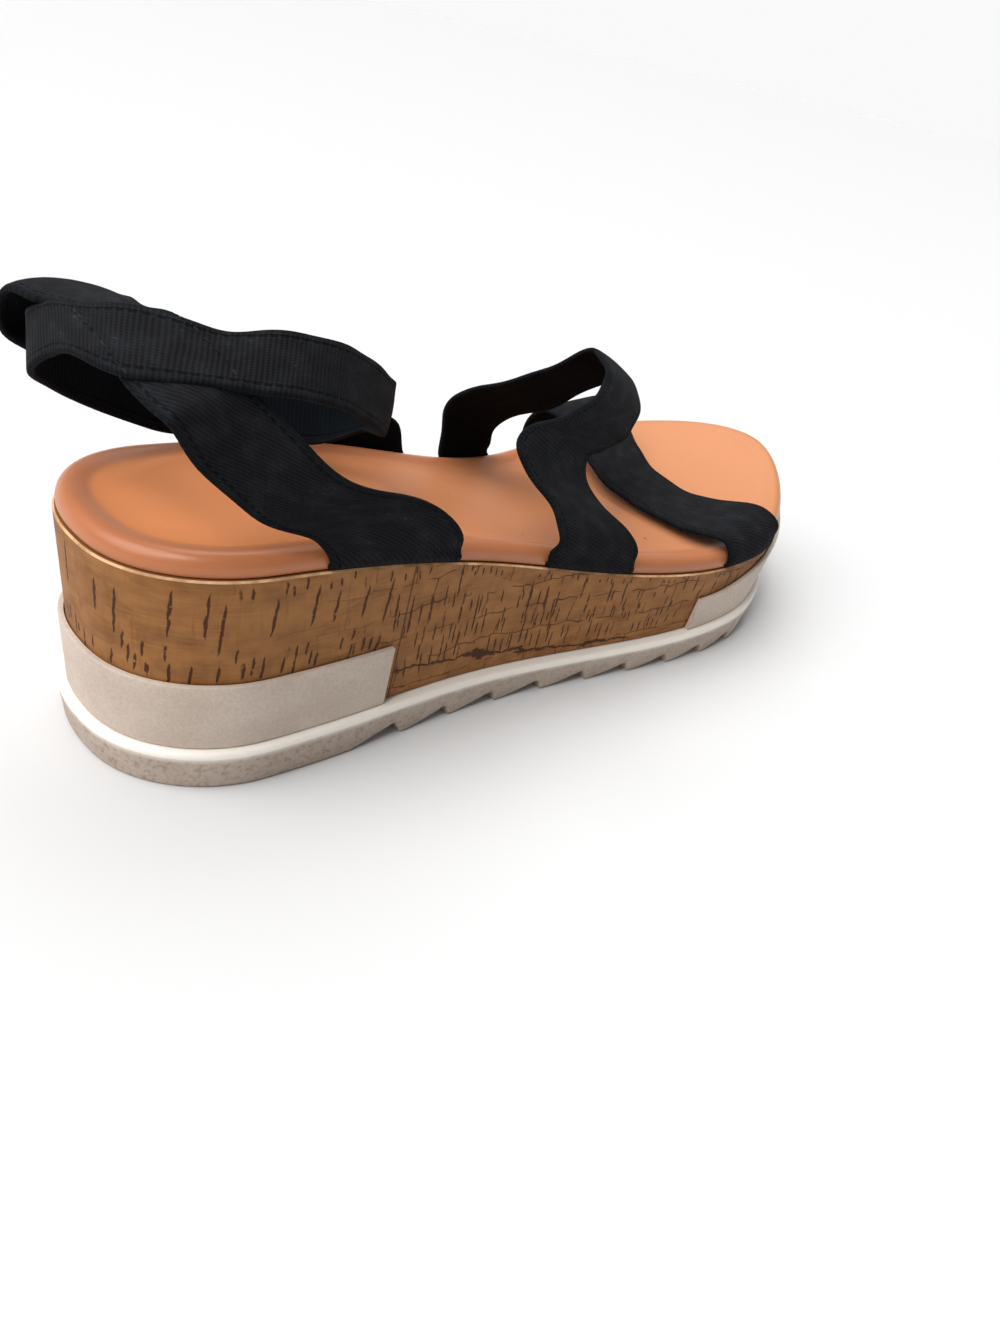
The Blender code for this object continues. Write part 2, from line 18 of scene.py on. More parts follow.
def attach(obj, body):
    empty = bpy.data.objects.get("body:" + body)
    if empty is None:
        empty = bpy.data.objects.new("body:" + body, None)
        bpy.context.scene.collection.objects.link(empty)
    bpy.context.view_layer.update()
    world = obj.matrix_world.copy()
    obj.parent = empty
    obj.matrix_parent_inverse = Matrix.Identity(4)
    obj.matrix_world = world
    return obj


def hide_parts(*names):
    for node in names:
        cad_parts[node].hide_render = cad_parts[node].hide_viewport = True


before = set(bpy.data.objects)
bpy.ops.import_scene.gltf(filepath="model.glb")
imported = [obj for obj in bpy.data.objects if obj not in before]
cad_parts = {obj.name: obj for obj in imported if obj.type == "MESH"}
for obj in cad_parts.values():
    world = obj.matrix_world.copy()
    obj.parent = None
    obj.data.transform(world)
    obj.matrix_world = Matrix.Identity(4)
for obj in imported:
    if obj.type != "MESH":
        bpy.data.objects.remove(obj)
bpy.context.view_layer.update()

MM = 0.001

log = logging.getLogger("sandal")

Rows = tuple[tuple[float, ...], ...]
Span = tuple[float, float]
Triple = tuple[float, float, float]
Colour = tuple[float, float, float, float]
Faces = list[tuple[int, ...]]
Socket = bpy.types.NodeSocket


class Side(Enum):
    """Side of the shoe, with its sign across the shoe."""

    OUTER = -1
    INNER = 1


class Lie(Enum):
    """Which face of the ankle band a sewn strap lies on, as a sign along the band's outward normal."""

    INSIDE = -1
    OUTSIDE = 1


def natural_spline(knots: np.ndarray, values: np.ndarray, at: np.ndarray) -> np.ndarray:
    """Natural cubic spline: piecewise cubics with matching slope and bend, and no bend at the ends.

    Args:
        knots: rising places of the values.
        values: one row of values for each knot.
        at: places to work out.

    Returns:
        One row of values for each place.
    """
    knots, values, at = (np.asarray(a, float) for a in (knots, values, at))
    count = len(knots)
    step = np.diff(knots)
    inner = np.arange(1, count - 1)
    system = np.eye(count)
    system[inner, inner - 1] = step[:-1]
    system[inner, inner] = 2 * (step[:-1] + step[1:])
    system[inner, inner + 1] = step[1:]
    flat = values.reshape(count, -1)
    slope = np.diff(flat, axis=0) / step[:, None]
    target = np.zeros_like(flat)
    target[1:-1] = 6 * np.diff(slope, axis=0)
    bend = np.linalg.solve(system, target).reshape(values.shape)
    k = np.clip(np.searchsorted(knots, at, side="right") - 1, 0, count - 2)
    shape = at.shape + (1,) * (values.ndim - 1)
    low = (at - knots[k]).reshape(shape)
    high = (knots[k + 1] - at).reshape(shape)
    h = step[k].reshape(shape)
    curve = (bend[k] * high**3 + bend[k + 1] * low**3) / (6 * h)
    return curve + (values[k] / h - bend[k] * h / 6) * high + (values[k + 1] / h - bend[k + 1] * h / 6) * low


def run_length(points: np.ndarray) -> np.ndarray:
    """Distance along a line of points, at each point."""
    return np.concatenate([[0], np.cumsum(np.linalg.norm(np.diff(points, axis=0), axis=1))])


def chord_places(rows: np.ndarray) -> np.ndarray:
    """Distance along the middle of a strap, at each of its rows."""
    return run_length(rows.mean(axis=1))


def srgb(red: float, green: float, blue: float) -> Colour:
    """Linear colour of a screen colour: a straight foot, and a power of 2.4 above it.

    Args:
        red: screen value from 0 to 255.
        green: screen value from 0 to 255.
        blue: screen value from 0 to 255.

    Returns:
        Red, green and blue from 0 to 1, and a full alpha.
    """
    share = np.array([red, green, blue]) / 255
    linear = np.where(share <= 0.04045, share / 12.92, ((share + 0.055) / 1.055) ** 2.4)
    return (*linear.tolist(), 1.0)


@dataclass(frozen=True)
class SoleShape:
    """Plan and heights of the sole, which every piece is laid out on."""

    length: float = 266 * MM
    ball_width: float = 96.5 * MM
    heel_height: float = 55.3 * MM
    rim_height: float = 10.6 * MM
    rest_station: float = 0.113
    heel_round: float = 0.121
    heel_squareness: float = 2.26
    toe_round: float = 0.25
    toe_squareness: float = 1.98
    fit_gap: float = 0.3 * MM

    # station, outer and inner half width as shares of the ball width
    plan: Rows = (
        (0.00, 0.307, 0.362),
        (0.18, 0.365, 0.328),
        (0.36, 0.379, 0.361),
        (0.54, 0.462, 0.361),
        (0.72, 0.535, 0.464),
        (0.86, 0.490, 0.503),
        (1.00, 0.396, 0.449),
    )
    # station, height of the cork's top as a share of the heel height
    cork_rise: Rows = (
        (0.00, 1.000),
        (0.15, 1.004),
        (0.35, 0.848),
        (0.50, 0.687),
        (0.65, 0.595),
        (0.85, 0.634),
        (1.00, 0.789),
    )
    # station, height of the outsole's ledge as a share of the rim height
    ledge_rise: Rows = (
        (0.00, 1.00),
        (0.25, 1.05),
        (0.50, 0.94),
        (0.75, 1.08),
        (1.00, 1.56),
    )

    def x_of(self, station: np.ndarray) -> np.ndarray:
        """Place along the shoe of a station."""
        return (np.asarray(station, float) - self.rest_station) * self.length

    def station_of(self, x: np.ndarray) -> np.ndarray:
        """Station of a place along the shoe."""
        return x / self.length + self.rest_station

    def _from(self, rows: Rows, column: int, station: np.ndarray) -> np.ndarray:
        """Smooth value of one column of a table at a station."""
        table = np.array(rows)
        return natural_spline(table[:, 0], table[:, column], station)

    def cork_top(self, station: np.ndarray) -> np.ndarray:
        """Height of the cork's top over the floor."""
        return self._from(self.cork_rise, 1, np.clip(station, 0, 1)) * self.heel_height

    def ledge(self, station: np.ndarray) -> np.ndarray:
        """Height of the outsole's ledge over the floor."""
        return self._from(self.ledge_rise, 1, station) * self.rim_height

    def half_width(self, side: Side, station: np.ndarray) -> np.ndarray:
        """Half width of the rim: a spline, times a superellipse at the heel and at the toe.

        Args:
            side: side of the shoe.
            station: stations to work out.

        Returns:
            Half widths in metres.
        """
        width = self._from(self.plan, 1 if side is Side.OUTER else 2, station) * self.ball_width
        heel = np.clip(1 - station / self.heel_round, 0, 1)
        toe = np.clip(1 - (1 - station) / self.toe_round, 0, 1)
        width = width * (1 - heel**self.heel_squareness) ** (1 / self.heel_squareness)
        return width * (1 - toe**self.toe_squareness) ** (1 / self.toe_squareness)

    def rim_point(self, side: Side, station: np.ndarray, inset: np.ndarray) -> np.ndarray:
        """Plan points of the rim on one side, moved inwards square to it.

        Args:
            side: side of the shoe.
            station: stations of the points.
            inset: distance in from the rim.

        Returns:
            One row of two places for each station.
        """
        station = np.asarray(station, float)
        reach = 1e-4
        before = np.clip(station - reach, 0, 1)
        after = np.clip(station + reach, 0, 1)
        along = (after - before) * self.length
        across = side.value * (self.half_width(side, after) - self.half_width(side, before))
        size = np.hypot(along, across)
        x = self.x_of(station) + side.value * inset * across / size
        y = side.value * (self.half_width(side, station) - inset * along / size)
        return np.stack([x, y], -1)

    def ring(self, stations: np.ndarray, insets: np.ndarray, heights: np.ndarray) -> np.ndarray:
        """Closed ring: heel point, outer side, toe point and inner side.

        Args:
            stations: rising stations from 0 to 1.
            insets: distance in from the rim, one for all or one for each station.
            heights: height over the floor, in the same way.

        Returns:
            Points of the ring by 3 places.
        """
        inset = np.broadcast_to(insets, stations.shape)
        z = np.broadcast_to(heights, stations.shape)
        plan = np.concatenate([
            [[self.x_of(0) + inset[0], 0]],
            self.rim_point(Side.OUTER, stations[1:-1], inset[1:-1]),
            [[self.x_of(1) - inset[-1], 0]],
            self.rim_point(Side.INNER, stations[1:-1], inset[1:-1])[::-1],
        ])
        return np.column_stack([plan, np.concatenate([z, z[-2:0:-1]])])


def even_stations(count: int, low: float = 0.0, high: float = 1.0) -> np.ndarray:
    """Stations that lie closer together at the heel and the toe."""
    full = (1 - np.cos(np.linspace(0, math.pi, count))) / 2
    return np.concatenate([[low], full[(full > low) & (full < high)], [high]])


def outward_object(name: str, mesh: bpy.types.Mesh, sharp: float | None = None) -> bpy.types.Object:
    """Object of a mesh, with its faces turned outwards and shaded smooth.

    Args:
        name: name of the piece.
        mesh: mesh of the piece.
        sharp: edges bent by more degrees than this are shown sharp.

    Returns:
        The new object, at the origin.
    """
    shape = bmesh.new()
    shape.from_mesh(mesh)
    bmesh.ops.recalc_face_normals(shape, faces=shape.faces)
    shape.to_mesh(mesh)
    shape.free()
    mesh.shade_smooth()
    if sharp is not None:
        mesh.set_sharp_from_angle(angle=math.radians(sharp))
    made = bpy.data.objects.new(name, mesh)
    bpy.context.scene.collection.objects.link(made)
    return made


def grid_object(
    name: str,
    points: np.ndarray,
    uv: np.ndarray,
    wrap: tuple[bool, bool],
    closing: Faces,
    attributes: dict[str, np.ndarray] | None = None,
    sharp: float = 40,
) -> bpy.types.Object:
    """Object from a grid of points. Corner (r, c) joins (r, c+1), (r+1, c+1) and (r+1, c), round the wraps.

    Args:
        name: name of the piece.
        points: rows by columns by 3 places.
        uv: rows by columns by 2 surface places in metres, one row or column longer where it wraps.
        wrap: whether the rows and the columns close on themselves.
        closing: further faces, as vertex numbers.
        attributes: named values, one for each point.
        sharp: edges bent by more degrees than this are shown sharp.

    Returns:
        The new object, with outward faces.
    """
    rows, columns = points.shape[:2]
    r, c = np.meshgrid(np.arange(rows - (not wrap[0])), np.arange(columns - (not wrap[1])), indexing="ij")
    corner_r = np.stack([r, r, r + 1, r + 1], -1).reshape(-1, 4)
    corner_c = np.stack([c, c + 1, c + 1, c], -1).reshape(-1, 4)
    quads = (corner_r % rows) * columns + corner_c % columns
    flat = points.reshape(-1, 3)
    mesh = bpy.data.meshes.new(name)
    mesh.from_pydata(flat.tolist(), [], quads.tolist() + [list(face) for face in closing])
    corners = [uv[corner_r, corner_c].reshape(-1, 2)]
    if closing:
        corners.append(flat[np.concatenate([np.array(face) for face in closing])][:, :2])
    surface = mesh.uv_layers.new(name="surface")
    surface.data.foreach_set("uv", np.concatenate(corners).astype(np.float32).ravel())
    for key, values in (attributes or {}).items():
        layer = mesh.attributes.new(key, "FLOAT", "POINT")
        layer.data.foreach_set("value", np.asarray(values, np.float32).ravel())
    return outward_object(name, mesh, sharp)


def rungs(first: int, count: int, stations: int) -> Faces:
    """Faces across one ring, from the heel point to the toe point.

    Args:
        first: number of the ring's first vertex.
        count: vertices of the ring.
        stations: stations that the ring was made from.

    Returns:
        A triangle at each point, and four-sided faces between.
    """
    outer = first + np.arange(stations)
    inner = first + (count - np.arange(stations)) % count
    middle = np.stack([outer[1:-2], outer[2:-1], inner[2:-1], inner[1:-2]], -1)
    ends = [(outer[0], outer[1], inner[1]), (outer[-2], outer[-1], inner[-2])]
    return [tuple(int(i) for i in face) for face in [*ends, *middle]]


def stacked(name: str, rings: list[np.ndarray], stations: int) -> bpy.types.Object:
    """Closed solid from a stack of rings.

    The surface place of a point is its distance round the lowest ring, and its height. The share of
    the way up the stack is kept as an attribute called rise.

    Args:
        name: name of the piece.
        rings: rings from the bottom up.
        stations: how many stations each ring was made from.

    Returns:
        The new object.
    """
    points = np.array(rings)
    levels, count = points.shape[:2]
    u = np.broadcast_to(run_length(np.vstack([points[0], points[0][:1]])), (levels, count + 1))
    z = np.concatenate([points[..., 2], points[:, :1, 2]], axis=1)
    closing = rungs(0, count, stations) + rungs((levels - 1) * count, count, stations)
    rise = np.broadcast_to(np.linspace(0, 1, levels)[:, None], (levels, count))
    return grid_object(name, points, np.stack([u, z], -1), (False, True), closing, {"rise": rise})


def dress(
    piece: bpy.types.Object, material: bpy.types.Material, node: str | None = None
) -> bpy.types.Object:
    """Give a piece its material and its body, and hide the solid that it stands for.

    Args:
        piece: piece to dress.
        material: finish of the piece.
        node: solid that the piece replaces, if there is one.

    Returns:
        The same piece.
    """
    piece.data.materials.append(material)
    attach(piece, "root")
    if node is not None:
        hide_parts(node)
    return piece


class Recipe:
    """Short way to add and join the nodes of one material."""

    def __init__(self, name: str) -> None:
        """Start a material with one principled shader.

        Args:
            name: name of the material.
        """
        self.material = bpy.data.materials.new(name)
        self.material.use_nodes = True
        self.tree = self.material.node_tree
        self.shader = self.tree.nodes["Principled BSDF"]

    def put(self, socket: Socket, value: object) -> None:
        """Join a socket to another one, or set its value.

        Args:
            socket: input to fill.
            value: output of another node, or a plain value.
        """
        if isinstance(value, Socket):
            self.tree.links.new(value, socket)
        else:
            socket.default_value = value

    def node(self, kind: str, inputs: dict[str | int, object], **settings: object) -> bpy.types.Node:
        """Add a node.

        Args:
            kind: Blender's name of the node, without its first word.
            inputs: values or other sockets for the inputs, by name or number.
            settings: the node's own choices.

        Returns:
            The new node.
        """
        made = self.tree.nodes.new("ShaderNode" + kind)
        for key, value in settings.items():
            setattr(made, key, value)
        for key, value in inputs.items():
            self.put(made.inputs[key], value)
        return made

    def set(self, **values: object) -> None:
        """Set shader sockets by name, with _ for each space."""
        for key, value in values.items():
            self.put(self.shader.inputs[key.replace("_", " ")], value)

    def place(self, source: str, scale: Triple = (1, 1, 1)) -> Socket:
        """Object or UV places in metres, times a scale on each axis."""
        vector = self.node("TexCoord", {}).outputs[source]
        return self.node("Mapping", {"Scale": scale, "Vector": vector}, vector_type="POINT").outputs["Vector"]

    def axis(self, vector: Socket, letter: str) -> Socket:
        """One coordinate of a place."""
        return self.node("SeparateXYZ", {0: vector}).outputs[letter]

    def attribute(self, name: str) -> Socket:
        """Value of a named attribute of the piece."""
        return self.node("Attribute", {}, attribute_name=name).outputs["Fac"]

    def noise(self, source: str, scale: Triple, detail: float, twist: float = 0.0) -> Socket:
        """Soft noise from 0 to 1, with a scale in cells a metre on each axis."""
        inputs = {"Vector": self.place(source, scale), "Scale": 1, "Detail": detail, "Distortion": twist}
        return self.node("TexNoise", inputs).outputs["Fac"]

    def cells(self, scale: float) -> Socket:
        """Distance to the nearest of scattered points, of which there are scale to a metre."""
        inputs = {"Vector": self.place("Object", (scale, scale, scale)), "Scale": 1}
        made = self.node("TexVoronoi", inputs, voronoi_dimensions="3D", distance="EUCLIDEAN")
        return made.outputs["Distance"]

    def calc(self, operation: str, first: object, second: object = 0.0) -> Socket:
        """One sum of two values."""
        return self.node("Math", {0: first, 1: second}, operation=operation).outputs[0]

    def plus(self, first: object, second: object) -> Socket:
        """Sum of two values."""
        return self.calc("ADD", first, second)

    def less(self, first: object, second: object) -> Socket:
        """First value less the second."""
        return self.calc("SUBTRACT", first, second)

    def times(self, first: object, second: object) -> Socket:
        """Product of two values."""
        return self.calc("MULTIPLY", first, second)

    def larger(self, first: object, second: object) -> Socket:
        """Larger of two values."""
        return self.calc("MAXIMUM", first, second)

    def off(self, value: object, middle: object) -> Socket:
        """Distance of a value from a middle value."""
        return self.calc("ABSOLUTE", self.less(value, middle))

    def fade(self, value: Socket, low: float, high: float) -> Socket:
        """Smooth step: 0 below low, 1 above high. Where low is the larger, 0 above low and 1 below high.

        Args:
            value: value to read.
            low: value at which the result is 0.
            high: value at which the result is 1.

        Returns:
            A value from 0 to 1.
        """
        rising = low < high
        ends = {"From Min": min(low, high), "From Max": max(low, high)}
        goals = {"To Min": 0 if rising else 1, "To Max": 1 if rising else 0}
        made = self.node("MapRange", {"Value": value, **ends, **goals}, interpolation_type="SMOOTHSTEP")
        return made.outputs["Result"]

    def mix(self, share: object, first: object, second: object) -> Socket:
        """Mix of two colours, by the share of the second."""
        return self.node("Mix", {0: share, 6: first, 7: second}, data_type="RGBA").outputs[2]

    def bump(
        self, height: Socket, depth: float, strength: float = 1.0, under: Socket | None = None
    ) -> Socket:
        """Normal from a height from 0 to 1.

        Args:
            height: height of the surface.
            depth: what a height of 1 stands for, in metres.
            strength: how much of the bump shows.
            under: normal of the surface that the bump lies on.

        Returns:
            The bumped normal.
        """
        inputs = {"Strength": strength, "Distance": depth, "Height": height}
        if under is not None:
            inputs["Normal"] = under
        return self.node("Bump", inputs).outputs["Normal"]


@dataclass(frozen=True)
class SlitRow:
    """One row of upright slits in the cork.

    Pitch is the mean distance between slits, and half width that of one slit, in metres. Level, spread
    and half height are shares of the wall's rise. Slits stand in clusters, and bare is the share of the
    clusters' noise that has none. The row runs between two places along the shoe, and lean is how far
    each slit runs back to the heel for each metre that it rises.
    """

    pitch: float
    level: float
    spread: float
    half_height: float
    half_width: float
    cluster: float
    bare: float
    start: float
    end: float
    lean: float = 0.05


@dataclass(frozen=True)
class CorkFinish:
    """Cork veneer: soft mottling, rows of ragged upright slits, thin broken cracks and torn streaks.

    A scale is in cells a metre, round the wall and up it. Levels, widths and steps of the streaks, the
    cut edge and the top are shares of the wall's rise. The top, under the footbed's edge, is darkened
    with painted shade.
    """

    name: str = "cork_veneer"
    body: Colour = srgb(154, 103, 56)
    deep: Colour = srgb(124, 79, 41)
    pale: Colour = srgb(176, 126, 76)
    slit: Colour = srgb(56, 25, 8)
    cut_edge: Colour = srgb(222, 180, 138)
    fibre_scale: Triple = (60, 1500, 1)
    upright_scale: Triple = (900, 110, 1)
    mottle_scale: Triple = (150, 210, 1)
    block_scale: Triple = (60, 140, 1)
    chip_scale: Triple = (160, 160, 1)
    block_share: float = 0.30
    fibre_share: float = 0.28
    upright_share: float = 0.5
    mark_share: float = 0.9
    chip_share: float = 0.6
    edge_from: float = 0.895
    edge_step: float = 0.010
    edge_waver: float = 0.012
    # where the painted shade on the top begins, and its step
    top_shade_from: float = 0.985
    top_shade_step: float = 0.014
    fibre_height: float = 0.15
    slit_depth: float = 0.22 * MM
    ragged: float = 0.5 * MM
    uneven: float = 0.7
    wander_scale: float = 420
    wander_step: float = 40
    break_scale: Triple = (900, 520, 1)
    row_shift: float = 11.3
    row_fade: float = 4 * MM
    joint: float = 0.0372
    joint_outer: float = 0.30 * MM
    joint_inner: float = 0.12 * MM
    torn_from: float = 0.036
    torn_to: float = 0.125
    torn_fade: float = 2 * MM
    torn_level: float = 0.21
    torn_fall: float = 1.7
    torn_width: float = 0.026
    torn_least: float = 0.004
    wave_scale: Triple = (70, 120, 1)
    wave: float = 0.22
    fray_scale: Triple = (480, 900, 1)
    fray: float = 0.07
    patch_scale: Triple = (75, 20, 1)
    rows: tuple[SlitRow, ...] = (
        SlitRow(7.6 * MM, 0.69, 0.04, 0.14, 0.48 * MM, 40 * MM, 0.05, -0.05, 0.036, -0.08),
        SlitRow(2.4 * MM, 0.47, 0.06, 0.050, 0.40 * MM, 10 * MM, 0.47, -0.05, 0.036, -0.08),
        SlitRow(4.6 * MM, 0.41, 0.03, 0.060, 0.42 * MM, 13 * MM, 0.42, -0.05, 0.036, -0.08),
        SlitRow(2.3 * MM, 0.85, 0.03, 0.035, 0.34 * MM, 12 * MM, 0.47, -0.010, 0.250),
        SlitRow(5.7 * MM, 0.66, 0.15, 0.16, 0.42 * MM, 30 * MM, 0.32, 0.030, 0.250),
        SlitRow(3.4 * MM, 0.58, 0.14, 0.08, 0.34 * MM, 15 * MM, 0.45, 0.030, 0.250),
        SlitRow(1.9 * MM, 0.42, 0.05, 0.080, 0.30 * MM, 12 * MM, 0.48, 0.034, 0.250),
        SlitRow(2.6 * MM, 0.24, 0.06, 0.11, 0.34 * MM, 14 * MM, 0.44, 0.036, 0.250),
    )
    brick: tuple[float, float] = (13 * MM, 8.2 * MM)
    drift_scale: Triple = (120, 120, 1)
    gap_scale: Triple = (85, 160, 1)
    crack: float = 0.20 * MM

    def make(self) -> bpy.types.Material:
        """Build the material: soft layers of noise for the body, and every dark mark over them.

        Returns:
            The finished material.
        """
        r = Recipe(self.name)
        fibre = r.noise("UV", self.fibre_scale, 4, 0.3)
        upright = r.noise("UV", self.upright_scale, 4)
        mottle = r.noise("UV", self.mottle_scale, 6)
        blocks = r.node("TexVoronoi", {"Vector": r.place("UV", self.block_scale), "Scale": 1},
                        voronoi_dimensions="2D", distance="CHEBYCHEV").outputs["Color"]
        colour = r.mix(r.fade(mottle, 0.28, 0.72), self.deep, self.body)
        colour = r.mix(r.times(r.axis(blocks, "X"), self.block_share), colour, self.pale)
        colour = r.mix(r.times(r.fade(fibre, 0.45, 0.75), self.fibre_share), colour, self.pale)
        colour = r.mix(r.times(r.fade(upright, 0.52, 0.75), self.upright_share), colour, self.deep)
        marks = r.larger(self._torn(r), self._cracks(r))
        for number, row in enumerate(self.rows):
            marks = r.larger(marks, self._slits(r, row, number))
        colour = r.mix(r.times(marks, self.mark_share), colour, self.slit)
        chips = r.fade(r.noise("UV", self.chip_scale, 5), 0.40, 0.58)
        chips = r.plus(r.times(chips, self.chip_share), 1 - self.chip_share)
        rise = r.plus(r.attribute("rise"), r.times(mottle, self.edge_waver))
        edge = r.times(r.fade(rise, self.edge_from, self.edge_from + self.edge_step), chips)
        colour = r.mix(edge, colour, self.cut_edge)
        # painted shade: the top, tucked under the footbed's edge, is darkened to the deep colour
        top = r.fade(r.attribute("rise"), self.top_shade_from, self.top_shade_from + self.top_shade_step)
        colour = r.mix(top, colour, self.deep)
        height = r.less(r.times(r.plus(fibre, upright), self.fibre_height), marks)
        normal = r.bump(height, self.slit_depth)
        r.set(Base_Color=colour, Roughness=0.62, Specular_IOR_Level=0.22, Normal=normal)
        return r.material

    def _slits(self, r: Recipe, row: SlitRow, number: int) -> Socket:
        """One row of slits, each narrowing to both ends.

        A point is in a slit where its distance across over the half width, plus the fourth power of its
        height over the half height, is less than one.

        Args:
            r: recipe of the material.
            row: sizes of the row.
            number: number of the row, which sets its chances.

        Returns:
            1 in a slit, 0 beside it.
        """
        surface = r.place("UV")
        wander_scale = (self.wander_scale + self.wander_step * number, self.wander_scale, 1)
        wander = r.less(r.noise("UV", wander_scale, 6), 0.5)
        along = r.plus(r.axis(surface, "X"), r.times(r.axis(surface, "Y"), row.lean))
        along = r.plus(along, r.times(wander, 2 * self.ragged))
        inputs = {"W": r.plus(r.calc("DIVIDE", along, row.pitch), self.row_shift * number),
                  "Scale": 1, "Randomness": self.uneven}
        cell = r.node("TexVoronoi", inputs, voronoi_dimensions="1D")
        chance = cell.outputs["Color"]
        middle = r.plus(r.times(r.less(r.axis(chance, "X"), 0.5), 2 * row.spread), row.level)
        half = r.times(r.plus(r.times(r.axis(chance, "Y"), 0.6), 0.6), row.half_height)
        up = r.calc("DIVIDE", r.less(r.attribute("rise"), middle), half)
        across = r.times(cell.outputs["Distance"], row.pitch / row.half_width)
        breaks = r.times(r.fade(r.noise("UV", self.break_scale, 2), 0.60, 0.70), 0.9)
        reach = r.plus(r.plus(across, r.calc("POWER", r.calc("ABSOLUTE", up), 4.0)), breaks)
        clusters = {"W": cell.outputs["W"], "Scale": row.pitch / row.cluster}
        clump = r.node("TexNoise", clusters, noise_dimensions="1D").outputs["Fac"]
        x = r.axis(r.place("Object"), "X")
        ends = r.times(r.fade(x, row.start, row.start + self.row_fade),
                       r.fade(x, row.end, row.end - self.row_fade))
        kept = r.times(r.fade(clump, row.bare, row.bare + 0.02), ends)
        return r.times(r.fade(reach, 1.0, 0.45), kept)

    def _cracks(self, r: Recipe) -> Socket:
        """Broken outlines of uneven bricks, and the upright joint of the veneer beyond the heel strip.

        Args:
            r: recipe of the material.

        Returns:
            Near 1 in a crack, 0 beside it.
        """
        drift = r.node("TexNoise", {"Vector": r.place("UV", self.drift_scale), "Scale": 1}).outputs["Color"]
        sway = (self.brick[0] / 3, self.brick[1] / 1.6, 0)
        bend = r.node("VectorMath", {0: drift, 1: sway, 2: r.place("UV")}, operation="MULTIPLY_ADD")
        bricks = r.node("TexBrick", {
            "Vector": bend.outputs["Vector"], "Scale": 1, "Brick Width": self.brick[0],
            "Row Height": self.brick[1], "Mortar Size": self.crack, "Mortar Smooth": 0.4,
        })
        x = r.axis(r.place("Object"), "X")
        broken = r.fade(r.noise("UV", self.gap_scale, 3), 0.44, 0.50)
        lines = r.times(r.times(bricks.outputs["Fac"], broken), r.fade(x, 0.0, 0.05))
        joint = r.fade(r.off(x, self.joint), self.joint_outer, self.joint_inner)
        return r.larger(r.times(lines, 0.85), r.times(joint, 0.8))

    def _torn(self, r: Recipe) -> Socket:
        """Dark torn streaks low on the outer side. They sink along the shoe and swell to patches.

        Args:
            r: recipe of the material.

        Returns:
            1 in a streak, 0 beside it.
        """
        place = r.place("Object")
        x = r.axis(place, "X")
        window = r.times(r.fade(x, self.torn_from, self.torn_from + self.torn_fade),
                         r.fade(x, self.torn_to, self.torn_to - self.torn_fade))
        wave = r.times(r.less(r.noise("UV", self.wave_scale, 8), 0.5), self.wave)
        wave = r.plus(wave, r.times(r.less(r.noise("UV", self.fray_scale, 6), 0.5), self.fray))
        fall = r.times(r.less(x, self.torn_from), self.torn_fall)
        level = r.off(r.plus(r.plus(r.attribute("rise"), fall), wave), self.torn_level)
        patches = r.fade(r.noise("UV", self.patch_scale, 5), 0.48, 0.70)
        width = r.plus(r.times(patches, self.torn_width), self.torn_least)
        streak = r.fade(r.less(level, width), 0.010, 0.0)
        return r.times(r.times(streak, window), r.fade(r.axis(place, "Y"), -0.01, -0.02))


@dataclass(frozen=True)
class LeatherFinish:
    """Smooth tan lining of the footbed: browner in the middle, paler and pinker at the toe."""

    name: str = "tan_leather"
    heel: Colour = srgb(216, 132, 75)
    waist: Colour = srgb(183, 117, 76)
    toe: Colour = srgb(200, 132, 88)
    rim: Colour = srgb(178, 110, 74)
    soil: Colour = srgb(112, 66, 42)
    stain_scale: float = 28
    speck_scale: float = 110
    speck_cluster: float = 19
    grain_scale: float = 1500
    crease_scale: Triple = (260, 420, 260)
    grain_depth: float = 0.05 * MM
    # place along and across the shoe, and radius
    spots: Rows = ((0.1372, -0.0300, 0.9 * MM), (0.0863, -0.0235, 0.6 * MM), (0.0814, 0.0029, 0.5 * MM))

    def make(self) -> bpy.types.Material:
        """Build the material: colour by place, slow stains, specks, three spots, and a fine grain.

        Returns:
            The finished material.
        """
        r = Recipe(self.name)
        place = r.place("Object")
        x = r.axis(place, "X")
        colour = r.mix(r.fade(x, 0.01, 0.10), self.heel, self.waist)
        colour = r.mix(r.fade(x, 0.11, 0.19), colour, self.toe)
        stain = r.noise("Object", (self.stain_scale,) * 3, 4)
        colour = r.mix(r.times(r.fade(stain, 0.50, 0.85), 0.14), colour, self.soil)
        clusters = r.fade(r.noise("Object", (self.speck_cluster,) * 3, 1), 0.58, 0.6)
        specks = r.times(r.fade(r.cells(self.speck_scale), 0.075, 0.05), clusters)
        colour = r.mix(r.times(specks, 0.4), colour, self.soil)
        rim = r.times(r.fade(r.attribute("rise"), 0.62, 0.50), r.fade(x, 0.19, 0.13))
        colour = r.mix(r.times(rim, 0.8), colour, self.rim)
        for spot_x, spot_y, radius in self.spots:
            sides = [r.less(x, spot_x), r.less(r.axis(place, "Y"), spot_y)]
            far = r.calc("SQRT", r.plus(*(r.times(side, side) for side in sides)))
            colour = r.mix(r.times(r.fade(far, radius, radius / 2), 0.7), colour, self.soil)
        grain = r.bump(r.cells(self.grain_scale), self.grain_depth, 0.35)
        normal = r.bump(r.noise("Object", self.crease_scale, 4), self.grain_depth, 0.5, grain)
        worn = r.times(r.fade(r.attribute("rise"), 0.50, 0.62), 0.20)
        rough = r.plus(r.times(r.fade(stain, 0.2, 0.9), 0.08), r.plus(worn, 0.30))
        r.set(Base_Color=colour, Roughness=rough, Normal=normal, Specular_IOR_Level=0.42)
        return r.material


